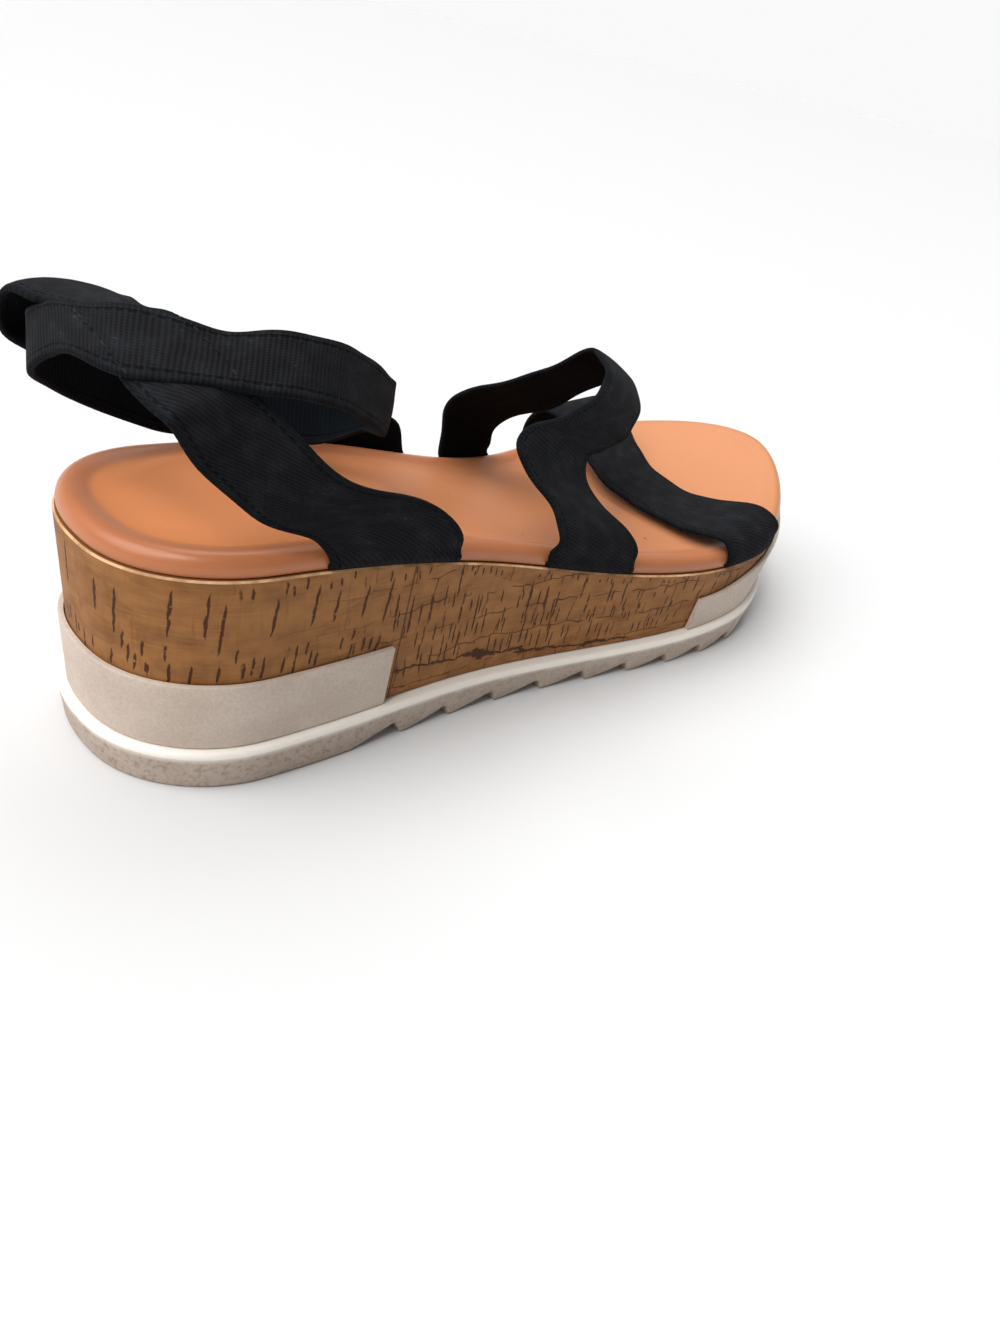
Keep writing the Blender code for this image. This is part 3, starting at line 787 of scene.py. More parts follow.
@dataclass(frozen=True)
class RubberFinish:
    """Cream white moulded rubber with a pebbled skin.

    Above a share of its rise it is unsoiled and brighter than the body, a painted highlight on the
    ledge's rounded edge and top; below that share it is dirty. A scale is in cells a metre.
    """

    name: str
    body: Colour = srgb(208, 192, 178)
    shade: Colour = srgb(196, 179, 164)
    # unsoiled rubber with a painted highlight, brighter than the body
    clean_lit: Colour = srgb(246, 239, 229)
    dirt: Colour = srgb(116, 90, 72)
    slow_scale: Triple = (70, 70, 110)
    pebble: float = 1250
    speckle: float = 760
    pebble_depth: float = 0.22 * MM
    clean_lit_from: float = 2.0
    clean_lit_step: float = 0.02
    dirt_share: float = 0.10

    def make(self) -> bpy.types.Material:
        """Build the material: slow noise and pebbles in the colour, and speckled dirt, most at the heel.

        Returns:
            The finished material.
        """
        r = Recipe(self.name)
        fine = r.noise("Object", (self.pebble,) * 3, 3)
        colour = r.mix(r.fade(r.noise("Object", self.slow_scale, 5), 0.3, 0.75), self.body, self.shade)
        colour = r.mix(r.times(r.fade(fine, 0.60, 0.35), 0.12), colour, self.dirt)
        speckle = r.fade(r.noise("Object", (self.speckle,) * 3, 5), 0.46, 0.74)
        heel = r.fade(r.axis(r.place("Object"), "X"), 0.09, 0.0)
        soil = r.times(r.plus(r.times(speckle, 0.6), 0.4), r.plus(r.times(heel, 0.35), 0.65))
        colour = r.mix(r.times(soil, self.dirt_share), colour, self.dirt)
        # painted highlight: above the share of the rise the colour turns to the bright unsoiled one
        rise = r.attribute("rise")
        colour = r.mix(r.fade(rise, self.clean_lit_from - self.clean_lit_step, self.clean_lit_from + self.clean_lit_step),
                       colour, self.clean_lit)
        normal = r.bump(fine, self.pebble_depth, 0.7)
        r.set(Base_Color=colour, Roughness=0.55, Specular_IOR_Level=0.35, Normal=normal)
        return r.material


@dataclass(frozen=True)
class ElasticFinish:
    """Black elastic with fine slanted ribs, weft between them and a stitched hem by each edge.

    Ribs and weft are counts a metre, along and across the strap. Twill is how far a rib runs along the
    strap for each metre across it. The face towards the foot is darkened with painted shade, and so are
    dashes along the hem's groove.
    """

    name: str = "black_elastic"
    yarn: Colour = srgb(16, 16, 18)
    lint: Colour = srgb(45, 46, 50)
    fluff: Colour = srgb(78, 80, 84)
    # painted shade: near black, for the face towards the foot and for dashes in the hem's groove
    painted_shade: Colour = srgb(4, 8, 13)
    ribs: float = 850
    twill: float = 0.45
    weft: float = 1500
    wobble: float = 0.8 * MM
    depth: float = 0.16 * MM
    hem: float = 2.0 * MM
    hem_depth: float = 0.3 * MM
    stitch: float = 2.4 * MM
    wobble_scale: Triple = (90, 90, 1)
    lint_scale: Triple = (210, 160, 1)
    fluff_scale: Triple = (1500, 700, 1)

    def make(self) -> bpy.types.Material:
        """Build the material: two crossed waves give the weave, noise the lint, and a groove the hem.

        Returns:
            The finished material.
        """
        r = Recipe(self.name)
        place = r.place("UV")
        across, along = r.axis(place, "X"), r.axis(place, "Y")
        wobble = r.times(r.noise("UV", self.wobble_scale, 3), self.wobble)
        slant = r.plus(along, r.plus(r.times(across, self.twill), wobble))
        rib = r.calc("SINE", r.times(slant, self.ribs * math.tau))
        weft = r.calc("SINE", r.times(across, self.weft * math.tau))
        weave = r.times(r.plus(r.plus(rib, r.times(weft, 0.45)), 1.45), 0.34)
        lint = r.noise("UV", self.lint_scale, 6)
        fluff = r.times(r.fade(r.noise("UV", self.fluff_scale, 3), 0.62, 0.72), r.fade(lint, 0.5, 0.7))
        colour = r.mix(r.times(r.fade(lint, 0.40, 0.75), 0.4), self.yarn, self.lint)
        colour = r.mix(r.times(weave, 0.45), colour, self.lint)
        colour = r.mix(r.times(fluff, 0.6), colour, self.fluff)
        # painted shade: the face towards the foot is darkened almost to the shade colour
        colour = r.mix(r.times(r.attribute("inside"), 0.95), colour, self.painted_shade)
        # painted shade in dashes along the hem's groove, where the stitches sink
        off = r.off(r.attribute("edge"), self.hem)
        dash = r.fade(r.calc("SINE", r.times(along, math.tau / self.stitch)), -0.6, -0.2)
        sunk = r.times(r.fade(off, 0.45 * MM, 0.2 * MM), dash)
        colour = r.mix(r.times(sunk, 0.7), colour, self.painted_shade)
        normal = r.bump(weave, self.depth, 0.9)
        normal = r.bump(r.fade(off, 0.15 * MM, 0.5 * MM), self.hem_depth, 0.8, normal)
        r.set(Base_Color=colour, Roughness=0.85, Specular_IOR_Level=0.06, Normal=normal,
              Sheen_Weight=0.01, Sheen_Roughness=0.4, Sheen_Tint=(0.7, 0.75, 0.85, 1))
        return r.material


@dataclass(frozen=True)
class ThreadFinish:
    """Black sewing thread with a twist."""

    name: str = "black_thread"
    body: Colour = srgb(44, 45, 49)
    shade: Colour = srgb(12, 12, 14)
    twist: float = 2600
    depth: float = 0.08 * MM

    def make(self) -> bpy.types.Material:
        """Build the material: a slanted wave stands for the twist.

        Returns:
            The finished material.
        """
        r = Recipe(self.name)
        place = r.place("Object", (self.twist,) * 3)
        slant = r.plus(r.axis(place, "X"), r.axis(place, "Z"))
        twist = r.times(r.plus(r.calc("SINE", slant), 1), 0.5)
        colour = r.mix(twist, self.shade, self.body)
        r.set(Base_Color=colour, Roughness=0.8, Specular_IOR_Level=0.08, Normal=r.bump(twist, self.depth))
        return r.material


@dataclass(frozen=True)
class FloorFinish:
    """Plain matt white of the floor."""

    name: str = "floor_white"
    body: Colour = (0.675, 0.675, 0.675, 1)

    def make(self) -> bpy.types.Material:
        """Build the material.

        Returns:
            The finished material.
        """
        r = Recipe(self.name)
        r.set(Base_Color=self.body, Roughness=0.9, Specular_IOR_Level=0.1)
        return r.material


@dataclass
class Outsole:
    """Moulded sole with a flat heel pad, saw-tooth lugs and a bevelled ledge."""

    shape: SoleShape
    pad_start: float = 0.02
    pad_end: float = 0.207
    relief_end: float = 0.26
    relief: float = 4.0 * MM
    lug_start: float = 0.269
    lug_pitch: float = 0.0622
    lug_count: int = 11
    lug_end: float = 0.95
    lug_depth: float = 3.2 * MM
    spring_start: float = 0.70
    spring: float = 10.2 * MM
    foot_inset: float = 1.1 * MM
    foot_round: float = 0.9 * MM
    bevel: float = 1.6 * MM
    bevel_width: float = 1.3 * MM
    ledge_width: float = 4.9 * MM
    stations: int = 170

    # along as a share of the pitch, depth as a share of the lug depth
    lug: Rows = (
        (0.00, 0.00),
        (0.12, 0.00),
        (0.36, 0.26),
        (0.62, 0.60),
        (0.84, 0.95),
        (0.91, 1.00),
        (0.96, 0.70),
    )
    # inset and height as shares: first of the foot's round, then of the side, then of the bevel
    foot_profile: Rows = ((1.0, 0.0), (0.55, 0.12), (0.2, 0.45), (0.0, 1.0))
    bevel_profile: Rows = ((0.0, 0.0), (0.06, 0.45), (0.3, 0.82), (0.62, 0.97), (1.0, 1.0))

    def tread(self) -> np.ndarray:
        """Underside before the toe spring: a flat pad, then one saw-tooth for each pitch.

        Returns:
            One row of station and height for each corner.
        """
        lug = np.array(self.lug)
        start = self.lug_start + np.arange(self.lug_count)[:, None] * self.lug_pitch
        along = (start + lug[:, 0] * self.lug_pitch).ravel()
        depth = np.tile(lug[:, 1] * self.lug_depth, self.lug_count)
        kept = along < self.lug_end
        front = [(0, 0), (self.pad_start, 0), (self.pad_end, 0), (self.relief_end, self.relief)]
        return np.concatenate([front, np.column_stack([along, depth])[kept], [(1, 0)]])

    def build(self) -> bpy.types.Object:
        """Build the sole: rings follow the rim at the insets and heights of the two profiles.

        Returns:
            The dressed piece.
        """
        tread = self.tread()
        plain = even_stations(self.stations)
        stations = np.unique(np.concatenate([tread[:, 0], plain]))
        past = np.clip((stations - self.spring_start) / (1 - self.spring_start), 0, None)
        bottom = np.interp(stations, tread[:, 0], tread[:, 1]) + self.spring * past**2
        top = self.shape.ledge(stations)
        rings = []
        for inset, rise in self.foot_profile:
            rings.append(self.shape.ring(stations, self.foot_inset + inset * self.foot_round,
                                         bottom + rise * self.foot_round))
        for inset, rise in self.bevel_profile:
            rings.append(self.shape.ring(stations, inset * self.bevel_width, top - (1 - rise) * self.bevel))
        rings.append(self.shape.ring(stations, self.ledge_width, top))
        # the ledge's rounded edge and top carry the bright unsoiled colour, a painted highlight
        finish = RubberFinish("sole_skin", clean_lit_from=0.44, dirt_share=0.62)
        return dress(stacked("outsole_skin", rings, len(stations)), finish.make(), "outsole")


@dataclass
class CorkMidsole:
    """Wedge wrapped in cork veneer, flaring to its top."""

    shape: SoleShape
    foot_inset: float = 3.6 * MM
    top_inset: float = 0.9 * MM
    chamfer: float = 0.5 * MM
    stations: int = 170
    levels: int = 9

    def wall_inset(self, station: np.ndarray, height: np.ndarray) -> np.ndarray:
        """Inset of the sloping wall, which changes evenly from its foot to its top.

        Args:
            station: stations to work out.
            height: height over the floor at each.

        Returns:
            Distances in from the rim.
        """
        low = self.shape.ledge(station) + self.shape.fit_gap
        high = self.shape.cork_top(station) - self.chamfer
        return self.foot_inset + (self.top_inset - self.foot_inset) * (height - low) / (high - low)

    def build(self) -> bpy.types.Object:
        """Build the wedge: its wall is ruled from the foot ring to the top ring, and then chamfered.

        Returns:
            The dressed piece.
        """
        stations = even_stations(self.stations)
        low = self.shape.ledge(stations) + self.shape.fit_gap
        top = self.shape.cork_top(stations)
        rings = []
        for share in np.linspace(0, 1, self.levels):
            inset = self.foot_inset + share * (self.top_inset - self.foot_inset)
            rings.append(self.shape.ring(stations, inset, low + share * (top - self.chamfer - low)))
        rings.append(self.shape.ring(stations, self.top_inset + self.chamfer, top))
        return dress(stacked("cork_wrap", rings, len(stations)), CorkFinish().make(), "cork_midsole")


@dataclass
class WhiteStrip:
    """White strip that stands on the ledge against the cork, with a softened top edge."""

    name: str
    node: str
    slot: str
    cork: CorkMidsole
    low: float
    high: float
    height: float
    thickness: float = 1.3 * MM
    round: float = 0.35 * MM
    stations: int = 200
    # station, height as a share of the strip's height
    rise: Rows = ((0.0, 1.0), (1.0, 1.0))

    def section(self, side: Side, stations: np.ndarray) -> np.ndarray:
        """Sections of the strip: up the cork, over the softened edge and down the face.

        Args:
            side: side of the shoe.
            stations: stations of the sections.

        Returns:
            Stations by points of a section by 3 places.
        """
        shape = self.cork.shape
        table = np.array(self.rise)
        low = shape.ledge(stations) + shape.fit_gap
        top = shape.ledge(stations) + natural_spline(table[:, 0], table[:, 1], stations) * self.height
        arc = np.radians([90, 60, 30, 0])
        outs = [0, 0, *(self.thickness - self.round + self.round * np.cos(arc)), self.thickness]
        drops = [None, 0, *(self.round - self.round * np.sin(arc)), None]
        points = []
        for out, drop in zip(outs, drops):
            z = low if drop is None else top - drop
            inset = self.cork.wall_inset(stations, z) - shape.fit_gap - out
            plan = shape.rim_point(side, stations, inset)
            tip = np.where(stations <= 0, shape.x_of(0) + inset, shape.x_of(1) - inset)
            at_tip = (stations <= 0) | (stations >= 1)
            plan = np.where(at_tip[:, None], np.column_stack([tip, np.zeros_like(tip)]), plan)
            points.append(np.column_stack([plan, z]))
        return np.stack(points, 1)

    def build(self) -> bpy.types.Object:
        """Build the strip: sections carried round the heel or the toe, from the outer end to the inner.

        Returns:
            The dressed piece.
        """
        stations = even_stations(self.stations, self.low, self.high)
        outer = self.section(Side.OUTER, stations)
        inner = self.section(Side.INNER, stations)
        if self.low == 0:
            points = np.concatenate([outer[:0:-1], inner])
        else:
            points = np.concatenate([outer[:-1], inner[::-1]])
        rows, columns = points.shape[:2]
        uv = np.concatenate([points[..., :2], points[:, :1, :2]], axis=1)
        last = (rows - 1) * columns
        closing = [tuple(range(columns)), tuple(range(last, last + columns))]
        piece = grid_object(self.name, points, uv, (False, True), closing, sharp=50)
        return dress(piece, RubberFinish(self.name + "_finish").make(), self.node)


@dataclass
class Footbed:
    """Padded insole with a rolled rim and a dished middle."""

    shape: SoleShape
    edge_inset: float = 1.6 * MM
    thickness: float = 4.8 * MM
    dish: float = 1.7 * MM
    roll: float = 4.2 * MM
    stations: int = 170
    levels: int = 26

    # inset, height as a share of the thickness
    rim: Rows = (
        (0.3 * MM, 0.00),
        (0.0 * MM, 0.14),
        (0.0 * MM, 0.40),
        (0.6 * MM, 0.72),
        (1.7 * MM, 0.93),
        (3.2 * MM, 1.00),
    )
    # inset past the rim as a share of the roll, depth as a share of the dish
    dishing: Rows = ((0.45, 0.22), (1.0, 0.66), (1.5, 0.92), (3.0, 1.00))
    # the dish loses this share of its depth between two stations
    flat_from: float = 0.60
    flat_to: float = 0.88
    flat_share: float = 0.95

    def build(self) -> bpy.types.Object:
        """Build the bed: a smooth curve through the rim and the dish, carried round the rim.

        Away from the rim the height follows the cork's top at the place that the point has moved to.

        Returns:
            The dressed piece.
        """
        crest = self.rim[-1][0]
        knots = [(inset, rise * self.thickness) for inset, rise in self.rim]
        knots += [(crest + inset * self.roll, self.thickness - depth * self.dish)
                  for inset, depth in self.dishing]
        knots = np.array(knots)
        places = run_length(knots)
        section = natural_spline(places, knots, np.linspace(0, places[-1], self.levels))
        stations = even_stations(self.stations)
        base = self.shape.cork_top(stations) + self.shape.fit_gap
        past = np.clip((stations - self.flat_from) / (self.flat_to - self.flat_from), 0, 1)
        kept = 1 - self.flat_share * past * past * (3 - 2 * past)
        rings = []
        for inset, rise in section:
            height = rise if inset < crest else self.thickness - (self.thickness - rise) * kept
            ring = self.shape.ring(stations, self.edge_inset + inset, base + height)
            edge = rings[0] if rings else ring
            here, there = (self.shape.cork_top(self.shape.station_of(at[:, 0])) for at in (ring, edge))
            ring[:, 2] += here - there
            rings.append(ring)
        piece = stacked("footbed_lining", rings, len(stations))
        return dress(piece, LeatherFinish().make(), "footbed")


@dataclass(frozen=True)
class StrapSizes:
    """Sizes that all the straps share.

    A free strap bulges by its crown over its middle, and the band curls in by its front crown within its
    front reach of the front. Edges ripple by ripple over each ripple length.
    """

    shape: SoleShape
    thickness: float = 1.5 * MM
    rise: float = 50 * MM
    bed_inset: float = 1.6 * MM
    tuck_depth: float = 12 * MM
    tuck_bend: float = 1.2 * MM
    tuck_rise: float = 3.4 * MM
    step: float = 1.3 * MM
    table_columns: int = 5
    columns: int = 15
    lean: float = 0.45
    crown: float = 0.7 * MM
    front_crown: float = 3.0 * MM
    front_reach: float = 13 * MM
    ripple: float = 0.22 * MM
    ripple_length: float = 17 * MM
    ripple_phase: float = 1.9

    def point(self, along: float, across: float, up: float) -> np.ndarray:
        """Place of a table's station, share of the ball width and share of the rise over the cork."""
        z = self.shape.cork_top(along) + np.asarray(up) * self.rise
        return np.stack([self.shape.x_of(along), np.asarray(across) * self.shape.ball_width, z], -1)

    def rows(self, table: Rows) -> np.ndarray:
        """Points across a strap, evenly between its two edges.

        Args:
            table: rows of station, across and up, for the first edge and then the second.

        Returns:
            Rows by columns by 3 places.
        """
        numbers = np.array(table)
        first = self.point(*numbers[:, :3].T)
        last = self.point(*numbers[:, 3:].T)
        share = np.linspace(0, 1, self.table_columns)[None, :, None]
        return first[:, None] + share * (last - first)[:, None]

    def tuck(self, side: Side, edges: Span) -> np.ndarray:
        """Rows of a strap end: flat under the footbed, round a quarter turn at its edge and up.

        Args:
            side: side of the shoe.
            edges: stations of the strap's two edges.

        Returns:
            Rows by columns by 3 places.
        """
        stations = np.linspace(*edges, self.table_columns)
        seat = self.shape.cork_top(stations) + self.shape.fit_gap + self.thickness / 2
        face = self.bed_inset - self.shape.fit_gap - self.thickness / 2
        angles = np.radians([0, 30, 60, 90])
        insets = [face + self.tuck_depth, face + self.tuck_depth / 2,
                  *(face + self.tuck_bend * (1 - np.sin(angles))), face]
        rises = [0, 0, *(self.tuck_bend * (1 - np.cos(angles))), self.tuck_rise]
        return np.array([
            np.column_stack([self.shape.rim_point(side, stations, inset), seat + rise])
            for inset, rise in zip(insets, rises)
        ])

    def anchored(self, outer: Span, inner: Span, middle: np.ndarray) -> np.ndarray:
        """Rows of a strap from its outer end over the foot to its inner end, at even steps.

        The last row of each end slides part of the way along the rim towards the row that follows it.

        Args:
            outer: stations of the two edges at the outer end.
            inner: the same at the inner end.
            middle: rows between the ends.

        Returns:
            Rows by columns by 3 places.
        """
        start = self.tuck(Side.OUTER, outer)
        end = self.tuck(Side.INNER, inner)
        for last, first in ((start[-1], middle[0]), (end[-1], middle[-1])):
            along = last[-1] - last[0]
            along = along / np.linalg.norm(along)
            last += self.lean * ((first - last) @ along)[:, None] * along
        free = np.concatenate([start[-2:], middle, end[:-3:-1]])
        places = chord_places(free)
        count = int(round(places[-1] / self.step))
        dense = natural_spline(places, free, np.linspace(0, places[-1], count + 1))
        return np.concatenate([start[:-2], dense, end[-3::-1]])

    def ribbon(self, name: str, rows: np.ndarray, closed: bool = False) -> bpy.types.Object:
        """Strap round its middle surface: offset by half its thickness along the normal, with round edges.

        Args:
            name: name of the piece.
            rows: rows by columns by 3 places of the middle surface.
            closed: whether the strap is a loop.

        Returns:
            The new object. Its attribute inside is 1 on the face towards the foot, and its attribute edge is
            the distance in metres from the nearer edge.
        """
        shares = np.linspace(0, 1, rows.shape[1])
        across_first = natural_spline(shares, rows.transpose(1, 0, 2), np.linspace(0, 1, self.columns))
        grid = across_first.transpose(1, 0, 2)
        along = np.gradient(grid, axis=0)
        if closed:
            along = (np.roll(grid, -1, axis=0) - np.roll(grid, 1, axis=0)) / 2
        across = np.gradient(grid, axis=1)
        normal = np.cross(along, across)
        normal /= np.linalg.norm(normal, axis=2, keepdims=True)
        across /= np.linalg.norm(across, axis=2, keepdims=True)
        half = self.thickness / 2
        places = chord_places(grid)
        edge = np.abs(np.linspace(-1, 1, self.columns)) ** 3
        phase = np.where(np.linspace(-1, 1, self.columns) < 0, 0.0, self.ripple_phase)
        wave = np.sin(places[:, None] / self.ripple_length * math.tau + phase)
        reach = 4 * self.tuck_depth
        near_end = np.minimum(places, places[-1] - places)
        window = 1.0 if closed else np.clip(near_end / reach, 0, 1)[:, None] ** 2
        if closed:
            front = places[np.argmax(grid[:, self.columns // 2, 0])]
            curl = -self.front_crown * np.exp(-((places[:, None] - front) / self.front_reach) ** 2)
        else:
            curl = self.crown * window
        curl = curl * np.linspace(-1, 1, self.columns) ** 2
        grid = grid + normal * (self.ripple * edge * wave * window + curl)[..., None]
        turn = np.radians([60, 30, 0, -30, -60])[None, :, None]
        sides = []
        for column, sign in ((-1, 1), (0, -1)):
            centre = grid[:, column] - sign * across[:, column] * half
            out = sign * np.cos(turn) * across[:, column][:, None]
            sides.append(centre[:, None] + half * (out + sign * np.sin(turn) * normal[:, column][:, None]))
        points = np.concatenate([
            (grid + normal * half)[:, 1:-1], sides[0], (grid - normal * half)[:, 1:-1][:, ::-1], sides[1]
        ], axis=1)
        width = np.linalg.norm(grid[:, -1] - grid[:, 0], axis=1)
        flat = np.linspace(0, 1, self.columns)[1:-1]
        u_shares = np.concatenate([flat, np.ones(5), flat[::-1], np.zeros(5), flat[:1]])
        v = places
        if closed:
            v = np.append(v, places[-1] + np.linalg.norm((grid[0] - grid[-1]).mean(axis=0)))
            width = np.append(width, width[0])
        uv = np.stack(np.broadcast_arrays(u_shares * width.mean(), v[:, None]), -1)
        inside = np.concatenate([np.zeros(len(flat)), np.full(5, 0.5), np.ones(len(flat)), np.full(5, 0.5)])
        inside = inside if closed else 1 - inside
        rows_made, columns_made = points.shape[:2]
        closing = []
        if not closed:
            last = (rows_made - 1) * columns_made
            closing = [tuple(range(columns_made)), tuple(range(last, last + columns_made))]
        from_edge = np.minimum(u_shares[:-1], 1 - u_shares[:-1]) * width[:rows_made, None]
        attributes = {"inside": np.broadcast_to(inside, (rows_made, columns_made)), "edge": from_edge}
        return grid_object(name, points, uv, (closed, True), closing, attributes, sharp=70)


@dataclass
class CrossingStrap:
    """Elastic strap over the foot with both ends tucked under the footbed."""

    name: str
    node: str
    slot: str
    sizes: StrapSizes
    table: Rows
    outer: Span
    inner: Span

    def build(self) -> bpy.types.Object:
        """Build the strap through the rows of its table.

        Returns:
            The dressed piece.
        """
        rows = self.sizes.anchored(self.outer, self.inner, self.sizes.rows(self.table))
        piece = self.sizes.ribbon(self.name, rows)
        return dress(piece, ElasticFinish(self.name + "_elastic").make(), self.node)


# Rows of a strap give its heel side edge and its toe side edge. Along is a station, across a share
# of the ball width, and up a share of the strap rise above the cork's top.
TOE_ROWS = (
    (0.688, -0.508, 0.17, 0.802, -0.503, 0.17),
    (0.682, -0.474, 0.19, 0.797, -0.459, 0.23),
    (0.679, -0.420, 0.17, 0.784, -0.394, 0.25),
    (0.675, -0.342, 0.15, 0.770, -0.301, 0.21),
    (0.672, -0.228, 0.15, 0.765, -0.166, 0.18),
    (0.674, -0.083, 0.15, 0.769, -0.021, 0.20),
    (0.688, 0.083, 0.19, 0.786, 0.104, 0.25),
    (0.703, 0.207, 0.27, 0.805, 0.207, 0.30),
    (0.701, 0.311, 0.37, 0.812, 0.321, 0.39),
    (0.694, 0.389, 0.37, 0.814, 0.409, 0.37),
    (0.687, 0.430, 0.26, 0.813, 0.459, 0.26),
)

INSTEP_ROWS = (
    (0.421, -0.415, 0.16, 0.538, -0.459, 0.16),
    (0.421, -0.399, 0.26, 0.523, -0.435, 0.27),
    (0.421, -0.358, 0.35, 0.506, -0.389, 0.34),
    (0.412, -0.306, 0.43, 0.498, -0.337, 0.40),
    (0.404, -0.264, 0.51, 0.496, -0.295, 0.48),
    (0.403, -0.238, 0.59, 0.506, -0.269, 0.57),
    (0.422, -0.228, 0.68, 0.526, -0.257, 0.60),
    (0.450, -0.228, 0.73, 0.549, -0.244, 0.62),
    (0.496, -0.218, 0.82, 0.581, -0.223, 0.65),
    (0.536, -0.187, 0.91, 0.618, -0.176, 0.70),
    (0.567, -0.130, 1.00, 0.652, -0.114, 0.77),
    (0.583, -0.062, 1.04, 0.672, -0.041, 0.84),
    (0.596, 0.016, 1.05, 0.680, 0.041, 0.86),
    (0.581, 0.083, 0.93, 0.668, 0.109, 0.77),
    (0.560, 0.130, 0.82, 0.645, 0.161, 0.65),
    (0.524, 0.187, 0.70, 0.617, 0.207, 0.53),
    (0.502, 0.240, 0.61, 0.588, 0.257, 0.46),
    (0.491, 0.285, 0.52, 0.583, 0.303, 0.36),
    (0.494, 0.324, 0.39, 0.588, 0.338, 0.26),
    (0.502, 0.338, 0.25, 0.596, 0.360, 0.17),
)

# The ankle band is a closed loop, from the back round the outer side to the front and the inner side.
# Its rows give the lower edge and then the upper edge.
BAND_ROWS = (
    (-0.004, 0.000, 0.78, 0.017, 0.140, 0.89),
    (-0.002, -0.083, 0.83, 0.022, 0.057, 0.93),
    (0.002, -0.135, 0.83, 0.028, -0.005, 0.96),
    (0.010, -0.187, 0.82, 0.036, -0.073, 1.00),
    (0.029, -0.249, 0.83, 0.058, -0.131, 0.99),
    (0.062, -0.280, 0.81, 0.094, -0.155, 0.93),
    (0.092, -0.290, 0.78, 0.123, -0.176, 0.94),
    (0.151, -0.290, 0.72, 0.180, -0.187, 0.92),
    (0.211, -0.228, 0.60, 0.242, -0.132, 0.82),
    (0.261, -0.145, 0.48, 0.295, -0.050, 0.70),
    (0.286, -0.073, 0.42, 0.320, 0.031, 0.66),
    (0.301, 0.041, 0.34, 0.331, 0.135, 0.60),
    (0.271, 0.135, 0.21, 0.297, 0.228, 0.49),
    (0.233, 0.207, 0.17, 0.256, 0.301, 0.45),
    (0.180, 0.259, 0.15, 0.199, 0.342, 0.43),
    (0.124, 0.259, 0.19, 0.143, 0.342, 0.47),
    (0.083, 0.249, 0.29, 0.102, 0.332, 0.56),
    (0.047, 0.218, 0.40, 0.064, 0.311, 0.66),
    (0.017, 0.176, 0.52, 0.034, 0.280, 0.75),
    (-0.003, 0.124, 0.61, 0.017, 0.244, 0.79),
)

SLING_OUTER_ROWS = (
    (0.150, -0.352, 0.12, 0.300, -0.376, 0.13),
    (0.136, -0.349, 0.18, 0.283, -0.373, 0.25),
    (0.111, -0.342, 0.23, 0.234, -0.366, 0.35),
    (0.088, -0.332, 0.30, 0.173, -0.358, 0.42),
    (0.063, -0.316, 0.43, 0.132, -0.328, 0.59),
    (0.043, -0.301, 0.55, 0.109, -0.287, 0.72),
)

SLING_BACK_ROWS = (
    (0.019, 0.048, 0.895, 0.064, 0.060, 0.945),
    (0.017, 0.130, 0.90, 0.075, 0.238, 0.87),
    (0.009, 0.176, 0.89, 0.066, 0.295, 0.87),
    (0.005, 0.223, 0.90, 0.059, 0.352, 0.85),
    (0.003, 0.275, 0.88, 0.056, 0.399, 0.80),
    (0.001, 0.314, 0.78, 0.055, 0.425, 0.68),
    (0.003, 0.321, 0.66, 0.059, 0.425, 0.61),
    (0.023, 0.306, 0.57, 0.077, 0.389, 0.66),
    (0.060, 0.298, 0.46, 0.105, 0.373, 0.72),
)

SLING_INNER_ROWS = (
    (0.228, 0.309, 0.12, 0.273, 0.347, 0.44),
    (0.261, 0.319, 0.10, 0.323, 0.342, 0.38),
    (0.288, 0.332, 0.12, 0.388, 0.345, 0.31),
    (0.300, 0.340, 0.11, 0.440, 0.352, 0.24),
)


@dataclass(frozen=True)
class Seam:
    """Where the sling is sewn to the band.

    Each row gives the band's row and the share of its width, for both edges of the sling.
    """

    rows: Rows
    lie: Lie


